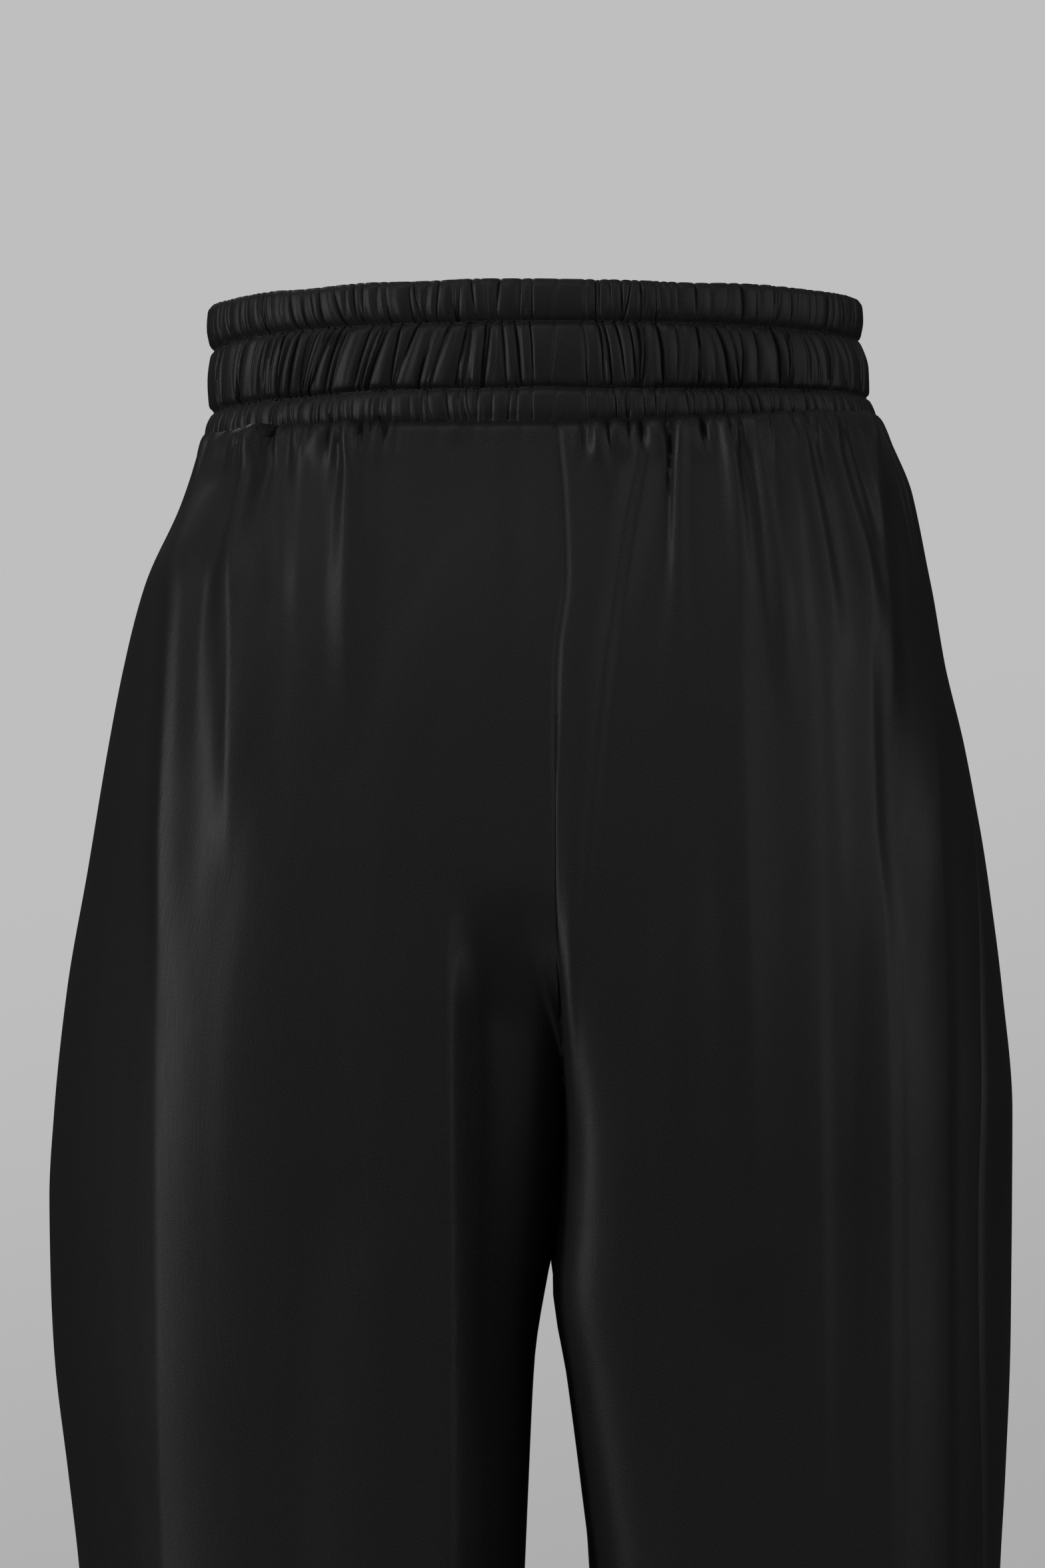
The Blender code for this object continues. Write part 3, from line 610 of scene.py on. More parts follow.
def gather_rise(face, x, z):
    """How far the gathers and pinches under the waist seam lift the cloth."""
    rise = np.zeros_like(x)
    down = WAIST_SEAM - z
    for gather in GATHERS:
        if gather.face != face:
            continue
        share = np.clip(down / gather.length, 0.0, 1.0)
        centre = gather.x + gather.spread * np.sign(gather.x) * down / GATHER_SPREAD_AT
        width = gather.width * (1 + GATHER_WIDENS * share)
        across = np.clip(np.abs(x - centre) / width, 0, 1)
        full = 1 - ease(share, GATHER_FULL, 1.0)
        rise += gather.rise * full * np.cos(0.5 * math.pi * across) ** 2
    return rise


def piece_seed(seed, face, side):
    """A seed of its own for each leg piece."""
    return seed + (face == "back") * 5 + (side > 0) * 3


def side_gather_rise(face, side, share_across, whole, z):
    """Smaller gathers where the cloth turns round the side, similar to those listed."""
    random = np.random.default_rng(piece_seed(SIDE_SEED, face, side))
    start = SIDE_START[face]
    rise = np.zeros_like(share_across)
    down = WAIST_SEAM - z
    for index in range(SIDE_GATHERS):
        place = start + (SIDE_END - start) * (index + random.uniform(*SIDE_JITTER)) / SIDE_GATHERS
        length, width = random.uniform(*SIDE_LENGTHS), random.uniform(*SIDE_WIDTHS)
        height = random.uniform(*SIDE_HEIGHTS) * (1 if index % 2 else -1)
        share = np.clip(down / length, 0.0, 1.0)
        away = np.abs(share_across - place) * whole
        across = np.clip(away / (width * (1 + GATHER_WIDENS * share)), 0, 1)
        rise += height * (1 - ease(share, SIDE_FULL, 1.0)) * np.cos(0.5 * math.pi * across) ** 2
    return rise


def seam_puffs(face, side, place, down):
    """Puffs from 0 to 1 between the pinches of the waist seam, and the pinches themselves."""
    random = np.random.default_rng(piece_seed(PUFF_SEED, face, side))
    pinches = [0.0]
    while pinches[-1] < place.max():
        pinches.append(pinches[-1] + random.uniform(*PUFF_WIDTHS))
    pinches = np.array(pinches)
    depth = random.uniform(*PINCH_DEPTHS, len(pinches))
    reach = random.uniform(*PINCH_REACH, len(pinches))
    index = np.clip(np.searchsorted(pinches, place) - 1, 0, len(pinches) - 2)
    width = pinches[index + 1] - pinches[index]
    share = np.clip((place - pinches[index]) / width, 0, 1)
    full = random.uniform(*PUFF_HEIGHTS, len(pinches))[index]
    wide = np.minimum(width / USUAL_PUFF, PUFF_WIDEST)
    puffs = (4 * share * (1 - share)) ** PUFF_ROUND * wide * full
    notch = np.zeros_like(place)
    for near in (index, index + 1):
        fallen = down / reach[near]
        away = np.abs(place - pinches[near]) / (PINCH_HALF * (1 + PINCH_WIDENS * fallen))
        notch += depth[near] * np.exp(-away ** PINCH_SHARP) * (1 - ease(fallen, PINCH_FULL, 1.0))
    return puffs, notch


def leg_grid(side, face):
    """Places of a leg piece's points: x, y, z, the way out, the distances to its two seams, and how
    far the cloth has dropped from its fullest depth towards the rise seam."""
    heights = row_heights()
    inner = np.linspace(0.0, 1.0, INNER_COLUMNS, endpoint=False)
    outer = np.linspace(0.0, 1.0, OUTER_COLUMNS[face] + 1)
    shape = (len(heights), len(inner) + len(outer))
    x, y, run, drop = np.empty(shape), np.empty(shape), np.empty(shape), np.empty(shape)
    for row, height in enumerate(heights):
        path, turn = leg_path(side, face, height)
        length = lengths_along(path)
        corner = path[turn, 1] - path[ARC_STEPS // 4, 1]
        run[row] = np.r_[length[turn] * inner,
                         length[turn] + (length[-1] - length[turn]) * outer]
        x[row] = np.interp(run[row], length, path[:, 0])
        y[row] = np.interp(run[row], length, path[:, 1])
        drop[row] = np.where(run[row] < length[turn], path[turn, 1] - y[row], 0.0)
        drop[row] = np.clip(drop[row], min(corner, 0.0), max(corner, 0.0))
    z = np.repeat(heights[:, None], shape[1], axis=1)
    step_x, step_y = np.gradient(x, axis=1), np.gradient(y, axis=1)
    size = np.hypot(step_x, step_y)
    outwards = -1 if (side > 0) == (face == "back") else 1
    way_x, way_y = outwards * step_y / size, -outwards * step_x / size
    return x, y, z, way_x, way_y, run, run[:, -1:] - run, drop


def seat_rise(side, x, z):
    """The hollow of the left back piece under the seat, and the right one's lip at the seam."""
    if side < 0:
        lip = ease(-z, *LIP_TOP) * (1 - ease(-z, *LIP_FOOT))
        return LIP * lip * np.cos(0.5 * math.pi * np.clip(np.abs(x - LIP_AT) / LIP_WIDTH, 0, 1)) ** 2
    across = np.clip((HOLLOW_EDGE - x) / (HOLLOW_EDGE - HOLLOW_END), 0, 1)
    low = ease(-z, *HOLLOW_EASE)
    deep = HOLLOW + (HOLLOW_LOW - HOLLOW) * low
    edge = 1 - np.exp(-(across / HOLLOW_STEEP) ** HOLLOW_ROUND)
    deep = deep * edge * (1 - HOLLOW_RISES * across)
    return -deep * ease(-z, *HOLLOW_TOP) * (1 - ease(-z, *HOLLOW_FOOT))


def leg_surface(side, face):
    """Points and UV of the outer face of one leg piece, with its folds, gathers and seam edges."""
    x, y, z, out_x, out_y, to_rise, to_side, drop = leg_grid(side, face)
    whole = to_rise[:, -1:]
    to_seam = np.minimum(to_rise, to_side)
    down = WAIST_SEAM - z
    calm = ease(to_seam, *GATHER_SEAM)
    rise = crease_rise(face, x, z) * ease(to_seam, *CREASE_SEAM) * ease(np.abs(out_y), *FACING)
    rise += gather_rise(face, x, z) * calm
    rise += side_gather_rise(face, side, to_rise / whole, whole, z) * calm
    seed = UNEVEN_SEED + 10 * (face == "back") + (side > 0)
    soft = sum(drift(to_side, z, uneven.across, uneven.down, seed + index) * uneven.height
               for index, uneven in enumerate(UNEVEN))
    rise += soft * ease(down, *UNEVEN_TOP) * ease(to_seam, *UNEVEN_SEAM)
    # The cloth puffs out over the waist seam, with a waving edge
    puffs, notch = seam_puffs(face, side, to_side / whole * whole[0], down)
    aside = PUFF_ASIDE + (1 - PUFF_ASIDE) * ease(np.abs(out_y), *PUFF_FACING)
    puffs = puffs * aside
    gathered = np.ones_like(x)
    if face == "back":
        flat = (ease(x, FLAT_STRETCH[0], FLAT_STRETCH[0] + FLAT_EASE[0])
                * ease(-x, -FLAT_STRETCH[1], -FLAT_STRETCH[1] + FLAT_EASE[1]))
        gathered = 1 - (1 - FLAT_SHARE) * flat
    share = np.clip(down / PUFF_REACH, 0, 1)
    fade = PUFF_PEAK * share * (1 - share) ** 3
    rise += PUFF * (PUFF_LEAST + (1 - PUFF_LEAST) * puffs) * gathered * fade * calm
    rise -= PINCH * notch * gathered * calm
    rise -= EDGE_TUCK * (1 - ease(down, *EDGE_TUCK_FADE)) * aside ** 2
    wave = puffs * gathered * EDGE_WAVE
    rise -= HEM_DIMPLE * np.exp(-((z - HEM - HEM_STITCHED) / HEM_DIMPLE_WIDTH) ** 2)
    # The edges roll in at every seam
    dip = SEAM_DIP * (1 - ease(to_seam, 0.0, SEAM_ROLL))
    at_rise = np.where(to_rise < to_side, 1 - ease(-z, *RISE_ENDS), 0.0)
    rise -= dip * (1 - at_rise)
    y = y - dip * at_rise * out_y
    if face == "back":
        y = y + drop * SEAT_FILL * (1 - ease(-z, *SEAT_FILL_FADE))
        y = y + seat_rise(side, x, z) * ease(to_rise, 0.0, HOLLOW_SEAM)
    height = z + waist_lift(x, z) + (EDGE_RISE + wave * calm) * (1 - ease(down, *EDGE_FADE))
    points = np.stack((x + out_x * rise, y + out_y * rise, height), axis=-1)
    return points, np.stack((-to_side * side, z), axis=-1)


def band_ring(z):
    """The ring of the waistband at height z, read from the table."""
    return BandRing(z, *(float(along(BAND_RINGS, name, z)) for name in BandRing._fields[1:]))


def band_path(ring):
    """The waistband's section at one ring, from the middle of the back round by the left side."""
    middle = (ring.left - ring.right) / 2
    corners = ((middle, ring.back), (ring.left, 0.0), (middle, ring.front), (-ring.right, 0.0))
    arcs = [quarter(corner, corners[(index + 1) % 4], index % 2 == 1, BAND_POWER)[:-1]
            for index, corner in enumerate(corners)]
    return np.vstack(arcs + [arcs[0][:1]])


def band_place(ring, share):
    """Points, outward directions and the length round, at shares of the way round a ring."""
    path = band_path(ring)
    length = lengths_along(path)
    around = length[-1]
    goal = np.mod(share, 1.0) * around
    ahead, behind = np.mod(goal + PATH_STEP, around), np.mod(goal - PATH_STEP, around)
    x, y = (np.interp(goal, length, path[:, axis]) for axis in (0, 1))
    run_x, run_y = (np.interp(ahead, length, path[:, axis]) - np.interp(behind, length, path[:, axis])
                    for axis in (0, 1))
    size = np.hypot(run_x, run_y)
    return x, y, -run_y / size, run_x / size, around


def band_lift(ring, x):
    """How much a ring of the waistband rises at this side of the garment."""
    reach = np.where(x > 0, ring.left, ring.right)
    return np.where(x > 0, ring.left_lift, ring.right_lift) * np.minimum(1.0, np.abs(x) / reach) ** 2


def band_gathered(x, y):
    """1 where the waistband is gathered, 0 round the cord holes in front."""
    return np.where(y > 0, 1.0, ease(np.abs(np.abs(x) - HOLE_X) - HOLE_FLAT, 0.0, PATCH_EASE))


def line_wave(share, line_z):
    """How much a stitched line of the waistband waves up and down at shares of the way round."""
    angle = 2 * math.pi * share
    return LINE_WAVE * drift(LINE_ROUND * np.cos(angle), LINE_ROUND * np.sin(angle) + 10 * line_z,
                             LINE_CELL, LINE_CELL, LINE_SEED)


def crease_lines(channel):
    """Where a channel's creases lie at its top and foot, as shares of the way round, and its form."""
    random = np.random.default_rng(channel.seed)
    ring = band_ring((channel.z_top + channel.z_foot) / 2)
    around = band_place(ring, np.zeros(1))[4]
    middle = (ring.left - ring.right) / 2
    start, end = (JOIN_PATCH[1] - middle) / around, 1 + (JOIN_PATCH[0] - middle) / around
    count = channel.gathers
    widths = np.exp(random.normal(0.0, WIDTH_SPREAD, count)).clip(*WIDTH_LIMITS)
    top = start + (end - start) * np.r_[0.0, np.cumsum(widths)] / widths.sum()
    left_back = ease(top, *LEFT_BACK_START) * (1 - ease(top, *LEFT_BACK_END))
    slip = left_back * channel.lean_left + (1 - left_back) * channel.lean
    slip = slip + random.normal(0.0, channel.wander, count + 1)
    inside = ease(top, start, start + LEAN_EASE) * ease(-top, -end, -end + LEAN_EASE)
    foot = top + slip * inside / around
    for index in range(1, count + 1):
        foot[index] = max(foot[index], foot[index - 1] + LEAST_GATHER / around)
    foot = start + (foot - foot[0]) * (end - start) / (foot[-1] - foot[0])
    patch_top = 1 + (np.array(PATCH_LINES_TOP) - middle) / around
    patch_foot = 1 + (np.array(PATCH_LINES_FOOT) - middle) / around
    every = count + 1 + len(PATCH_LINES_TOP)
    form = {
        "depth_top": random.uniform(*DEPTHS_TOP, every),
        "depth_foot": np.where(random.random(every) < SHALLOW_SHARE, SHALLOW,
                               random.uniform(*DEPTHS_FOOT, every)),
        "arch": random.uniform(*ARCHES, every),
        "tilt": random.normal(*TILTS, every),
        "pinch_high": random.uniform(0.0, 1.0, every),
        "pinch_low": random.uniform(0.0, 1.0, every),
    }
    for name in ("ripple_top", "ripple_foot"):
        form[name] = random.normal(0.0, RIPPLE, (every, len(CREASE_PHASES)))
    for values in form.values():
        values[count:] = 0.0
    for name in ("depth_top", "depth_foot"):
        form[name][[0, count]] = PATCH_DEPTH
        form[name][count + 2] = JOIN_SEAM_DEPTH
    return np.r_[top, patch_top], np.r_[foot, patch_foot], form, around


def channel_rows(channel):
    """Rows of points of one closed channel: down its gathered outside and up its plain inside."""
    top, foot, form, around = crease_lines(channel)
    column = {name: values.reshape(len(top), -1) for name, values in form.items()}
    phases = np.array(CREASE_PHASES)
    height = channel.z_top - channel.z_foot
    outside = 0.5 - 0.5 * np.cos(np.linspace(0.0, math.pi, channel.rows))
    inside = np.linspace(1.0, 0.0, BAND_INSIDE_ROWS)
    rows, uv, run = [], [], 0.0
    for index, down in enumerate(np.r_[outside, inside]):
        lines = top + (foot - top) * down
        widths = np.diff(np.r_[lines, lines[0] + 1.0])
        share = (lines[:, None] + widths[:, None] * phases).ravel()
        z = channel.z_top - height * down
        ring = band_ring(z)
        wave = (1 - down) * line_wave(share, channel.z_top) + down * line_wave(share, channel.z_foot)
        if index >= channel.rows:
            ring = BAND_INSIDE._replace(z=z, left_lift=ring.left_lift, right_lift=ring.right_lift)
        x, y, out_x, out_y, length = band_place(ring, share)
        inward, teeth = np.zeros_like(share), 0.0
        if index < channel.rows:
            width = widths[:, None] * length
            depth = column["depth_top"] + (column["depth_foot"] - column["depth_top"]) * down
            before, after = phases * width, (1 - phases) * width
            inward = (depth * np.exp(-(before / CREASE_WIDTH) ** VALLEY_SHARP)
                      + np.roll(depth, -1, axis=0) * np.exp(-(after / CREASE_WIDTH) ** VALLEY_SHARP))
            to_groove = min(down, 1 - down) * height
            teeth = TEETH * inward.ravel() * math.exp(-to_groove / TEETH_REACH)
            teeth = teeth if down < 0.5 else -teeth
            inward = inward + ((1 - down) * column["ripple_top"] + down * column["ripple_foot"])
            wide = np.minimum(width / USUAL_GATHER, WIDEST)
            inward = inward + ARCH * (2 * phases - 1) ** 2 * column["arch"] * wide
            inward = inward + TILT * column["tilt"] * (phases - 0.5) * wide
            near_foot = math.exp(-(1 - down) * height / PINCH_LENGTH)
            near_top = math.exp(-down * height / PINCH_LENGTH)
            near = PINCH_AT_FOOT * near_foot + PINCH_AT_TOP * near_top
            for name, phase in PINCH_PHASES:
                notch = np.exp(-(np.abs(phases - phase) * width / CREASE_WIDTH) ** VALLEY_SHARP)
                inward = inward + notch * column[name] * near
            inward = inward.ravel() * channel.depth * band_gathered(x, y)
            oval = np.hypot((np.abs(x) - HOLE_X) / (HOLE_WIDTH / 2), (z - HOLE_Z) / (HOLE_HEIGHT / 2))
            hole = np.where(y < 0, HOLE_DIMPLE * (1 - ease(oval, *HOLE_DIMPLE_EDGE)), 0.0)
            free = GROOVE_CALM + (1 - GROOVE_CALM) * float(ease(to_groove, 0.0, GROOVE_REACH))
            inward = inward * free + hole
        rows.append(np.column_stack((x - out_x * inward, y - out_y * inward,
                                     z + band_lift(ring, x) + wave - teeth)))
        if index:
            run += float(np.mean(np.linalg.norm(rows[-1] - rows[-2], axis=1)))
        uv.append(np.column_stack((share * around, np.full_like(share, channel.z_top - run))))
    return np.array(rows), np.array(uv)


def ring_uv(uv, around):
    """The UV grid of a closed ring, with one more row and column so that it doesn't run back."""
    wide = np.concatenate((uv, uv[:, :1] + (around, 0.0)), axis=1)
    return np.concatenate((wide, wide[:1] - (0.0, uv[0, 0, 1] - uv[-1, 0, 1] + .003)), axis=0)


# Grain, yarns and gloss of the satin, in metres, and of the thread
SATIN_SPECULAR = 0.22
SATIN_TINT = (1.0, 0.98, 1.0, 1.0)
NOISE_MIDDLE = (0.30, 0.70)      # most of a noise lies between these
GRAIN_DARK = 0.15                # the satin's colour is this much darker between its grains
GRAIN_LIGHT = 2.05
GRAIN_SIZE = .00036
GRAIN_HEIGHT = .00011
YARN_WIDTH = .00070
YARN_STRETCH = 24.0
YARN_HEIGHT = .00005
YARN_GLOSS = .035
BLOOM_SIZE = .030
BLOOM_GLOSS = .020
THREAD_ROUGHNESS = 0.55
THREAD_SPECULAR = 0.30
THREAD_DARK = 0.7
THREAD_LIGHT = 1.5
FIBRE_SIZE = .00025
FIBRE_HEIGHT = .00004
FIBRE_STRENGTH = 0.8
STITCH_SIDES = 8
STITCH_RINGS = 5

# The stage: a floor that fades out, a backdrop and an even fill that each go from a share of their
# strength to the whole of it as the view turns towards a direction, soft lights and the camera.
# The backdrop's fall is painted shade: it is darker low down and towards -X.
FLOOR_Z = HEM - 0.002
FLOOR_RADIUS = 1.25
FLOOR_FADE = 0.75
FLOOR_SIDES = 96
FLOOR_ROUGHNESS = 0.7
# painted shade on the backdrop: the share of its grey it keeps where it is darkest, low down
BACKDROP_PAINTED_SHADE = 0.78
BACKDROP_WAY = (0.25, 0.0, 0.97)
BACKDROP_TURN = (-0.22, 0.02)
FILL_LOW = 0.06
FILL_WAY = (0.14, 0.62, 0.77)
FILL_TURN = (-0.50, 0.80)
Light = namedtuple("Light", "name place aim width height power")
LIGHTS = (
    Light("back_softbox", (0.7, 2.1, 2.5), (0.0, 0.0, -0.2), 2.0, 1.4, 12.0),
    Light("left_softbox", (2.80, 1.35, 0.2), (0.0, 0.0, -0.3), 0.4, 2.4, 36.0),
    Light("right_softbox", (-2.9, 0.60, 0.3), (0.0, 0.0, -0.3), 0.6, 2.4, 12.0),
    Light("right_back_softbox", (-2.1, 2.5, 0.6), (0.0, 0.0, -0.4), 0.9, 2.0, 9.0),
    Light("front_softbox", (0.5, -2.4, 2.3), (0.0, 0.0, -0.4), 1.8, 1.4, 30.0),
)
CAMERA_PLACE = (0.0105, 1.70, -0.158)
CAMERA_TURN = (math.radians(90), 0.0, math.radians(180))
CAMERA_LENS = 101.5
CAMERA_SENSOR = 36.0


class TROUSERS_PG_cloth(bpy.types.PropertyGroup):
    """The satin of the legs and the waistband"""
    colour: bpy.props.FloatVectorProperty(
        name="Satin Colour", description="Colour of the satin face", subtype="COLOR", size=3,
        min=0.0, max=1.0, default=(0.0112, 0.0107, 0.0115))
    roughness: bpy.props.FloatProperty(
        name="Roughness", description="How matt the satin is", subtype="FACTOR",
        min=0.0, max=1.0, default=0.42)
    grain: bpy.props.FloatProperty(
        name="Grain", description="Strength of the crepe grain", subtype="FACTOR",
        min=0.0, max=1.0, default=0.70)
    wall: bpy.props.FloatProperty(
        name="Cloth Thickness", description="Thickness of one layer with its turnings",
        unit="LENGTH", min=0.0003, max=0.003, default=0.0011)


class TROUSERS_PG_sewing(bpy.types.PropertyGroup):
    """The thread and the stitches"""
    colour: bpy.props.FloatVectorProperty(
        name="Thread Colour", description="Colour of the sewing thread", subtype="COLOR", size=3,
        min=0.0, max=1.0, default=(0.0150, 0.0146, 0.0152))
    thickness: bpy.props.FloatProperty(
        name="Thread Thickness", description="Thickness of a laid stitch", unit="LENGTH",
        min=0.0001, max=0.002, default=0.00042)
    pitch: bpy.props.FloatProperty(
        name="Stitch Pitch", description="Distance from one stitch to the next", unit="LENGTH",
        min=0.001, max=0.01, default=0.0023)
    hem_pitch: bpy.props.FloatProperty(
        name="Hem Stitch Pitch", description="Distance from one hem stitch to the next",
        unit="LENGTH", min=0.001, max=0.02, default=0.0040)


class TROUSERS_PG_stage(bpy.types.PropertyGroup):
    """The studio round the garment"""
    wall_grey: bpy.props.FloatProperty(
        name="Backdrop Grey", description="Brightness of the backdrop", subtype="FACTOR",
        min=0.0, max=1.0, default=0.52)
    floor_grey: bpy.props.FloatProperty(
        name="Floor Grey", description="Colour of the floor", subtype="FACTOR",
        min=0.0, max=1.0, default=0.62)
    fill: bpy.props.FloatProperty(
        name="Fill Light", description="Even light from all round", min=0.0, max=2.0,
        default=0.25)


def scaled(colour, share):
    """A colour made darker or lighter, with full alpha."""
    return tuple(min(1.0, part * share) for part in colour) + (1.0,)


def add_noise(material, place, size, stretch, detail):
    """Noise in metres on a material, drawn out along the second way of its coordinates."""
    nodes, links = material.node_tree.nodes, material.node_tree.links
    mapping = nodes.new("ShaderNodeMapping")
    mapping.inputs["Scale"].default_value = (1 / size, 1 / (size * stretch), 1 / size)
    links.new(place, mapping.inputs["Vector"])
    texture = nodes.new("ShaderNodeTexNoise")
    texture.inputs["Scale"].default_value = 1.0
    texture.inputs["Detail"].default_value = detail
    links.new(mapping.outputs["Vector"], texture.inputs["Vector"])
    return texture.outputs["Fac"]


def add_range(material, value, low, high):
    """The middle of a noise's range spread from low to high."""
    nodes, links = material.node_tree.nodes, material.node_tree.links
    spread = nodes.new("ShaderNodeMapRange")
    spread.inputs["From Min"].default_value = NOISE_MIDDLE[0]
    spread.inputs["From Max"].default_value = NOISE_MIDDLE[1]
    spread.inputs["To Min"].default_value = low
    spread.inputs["To Max"].default_value = high
    links.new(value, spread.inputs["Value"])
    return spread.outputs["Result"]


def add_bump(material, height, distance, strength, before=None):
    """A bump of a few hundredths of a millimetre, on top of another one where there is one."""
    nodes, links = material.node_tree.nodes, material.node_tree.links
    bump = nodes.new("ShaderNodeBump")
    bump.inputs["Distance"].default_value = distance
    bump.inputs["Strength"].default_value = strength
    links.new(height, bump.inputs["Height"])
    if before is not None:
        links.new(before, bump.inputs["Normal"])
    return bump.outputs["Normal"]


def add_colours(material, value, dark, light):
    """A mix of two colours by a value."""
    nodes, links = material.node_tree.nodes, material.node_tree.links
    mix = nodes.new("ShaderNodeMix")
    mix.data_type = "RGBA"
    mix.inputs["A"].default_value = dark
    mix.inputs["B"].default_value = light
    links.new(value, mix.inputs["Factor"])
    return mix.outputs["Result"]


def satin_material(name, cloth):
    """Crepe-backed satin: a pebbled grain, fine yarn lines down the cloth and an uneven soft gloss."""
    material = bpy.data.materials.new(name)
    material.use_nodes = True
    nodes, links = material.node_tree.nodes, material.node_tree.links
    shader = nodes["Principled BSDF"]
    shader.inputs["Specular IOR Level"].default_value = SATIN_SPECULAR
    shader.inputs["Specular Tint"].default_value = SATIN_TINT
    uv = nodes.new("ShaderNodeUVMap")
    uv.uv_map = "cloth"
    place = uv.outputs["UV"]
    grain = add_noise(material, place, GRAIN_SIZE, 1.0, 2.0)
    yarn = add_noise(material, place, YARN_WIDTH, YARN_STRETCH, 2.0)
    bloom = add_noise(material, place, BLOOM_SIZE, 3.0, 3.0)
    grained = add_colours(material, add_range(material, grain, 0.0, 1.0),
                          scaled(cloth.colour, GRAIN_DARK), scaled(cloth.colour, GRAIN_LIGHT))
    links.new(grained, shader.inputs["Base Color"])
    uneven = nodes.new("ShaderNodeMath")
    uneven.operation = "MULTIPLY_ADD"
    links.new(add_range(material, yarn, -1.0, 1.0), uneven.inputs[0])
    uneven.inputs[1].default_value = YARN_GLOSS
    links.new(add_range(material, bloom, cloth.roughness - BLOOM_GLOSS, cloth.roughness + BLOOM_GLOSS),
              uneven.inputs[2])
    links.new(uneven.outputs["Value"], shader.inputs["Roughness"])
    pebbled = add_bump(material, grain, GRAIN_HEIGHT, cloth.grain)
    lined = add_bump(material, yarn, YARN_HEIGHT, cloth.grain, pebbled)
    links.new(lined, shader.inputs["Normal"])
    return material


def thread_material(name, sewing):
    """Spun sewing thread: a fine twist along it and a dull sheen."""
    material = bpy.data.materials.new(name)
    material.use_nodes = True
    nodes, links = material.node_tree.nodes, material.node_tree.links
    shader = nodes["Principled BSDF"]
    shader.inputs["Roughness"].default_value = THREAD_ROUGHNESS
    shader.inputs["Specular IOR Level"].default_value = THREAD_SPECULAR
    coordinates = nodes.new("ShaderNodeTexCoord")
    fibre = add_noise(material, coordinates.outputs["Object"], FIBRE_SIZE, 1.0, 1.0)
    mixed = add_colours(material, add_range(material, fibre, 0.0, 1.0),
                        scaled(sewing.colour, THREAD_DARK), scaled(sewing.colour, THREAD_LIGHT))
    links.new(mixed, shader.inputs["Base Color"])
    links.new(add_bump(material, fibre, FIBRE_HEIGHT, FIBRE_STRENGTH), shader.inputs["Normal"])
    return material


def floor_material(name, grey):
    """A pale floor that fades out into the backdrop."""
    material = bpy.data.materials.new(name)
    material.use_nodes = True
    nodes, links = material.node_tree.nodes, material.node_tree.links
    shader = nodes["Principled BSDF"]
    shader.inputs["Base Color"].default_value = (grey, grey, grey, 1.0)
    shader.inputs["Roughness"].default_value = FLOOR_ROUGHNESS
    coordinates = nodes.new("ShaderNodeTexCoord")
    flat = nodes.new("ShaderNodeVectorMath")
    flat.operation = "MULTIPLY"
    flat.inputs[1].default_value = (1.0, 1.0, 0.0)
    links.new(coordinates.outputs["Object"], flat.inputs[0])
    away = nodes.new("ShaderNodeVectorMath")
    away.operation = "LENGTH"
    links.new(flat.outputs["Vector"], away.inputs[0])
    fade = nodes.new("ShaderNodeMapRange")
    fade.interpolation_type = "SMOOTHSTEP"
    fade.inputs["From Min"].default_value = FLOOR_FADE
    fade.inputs["From Max"].default_value = FLOOR_RADIUS
    fade.inputs["To Min"].default_value = 1.0
    fade.inputs["To Max"].default_value = 0.0
    links.new(away.outputs["Value"], fade.inputs["Value"])
    links.new(fade.outputs["Result"], shader.inputs["Alpha"])
    return material


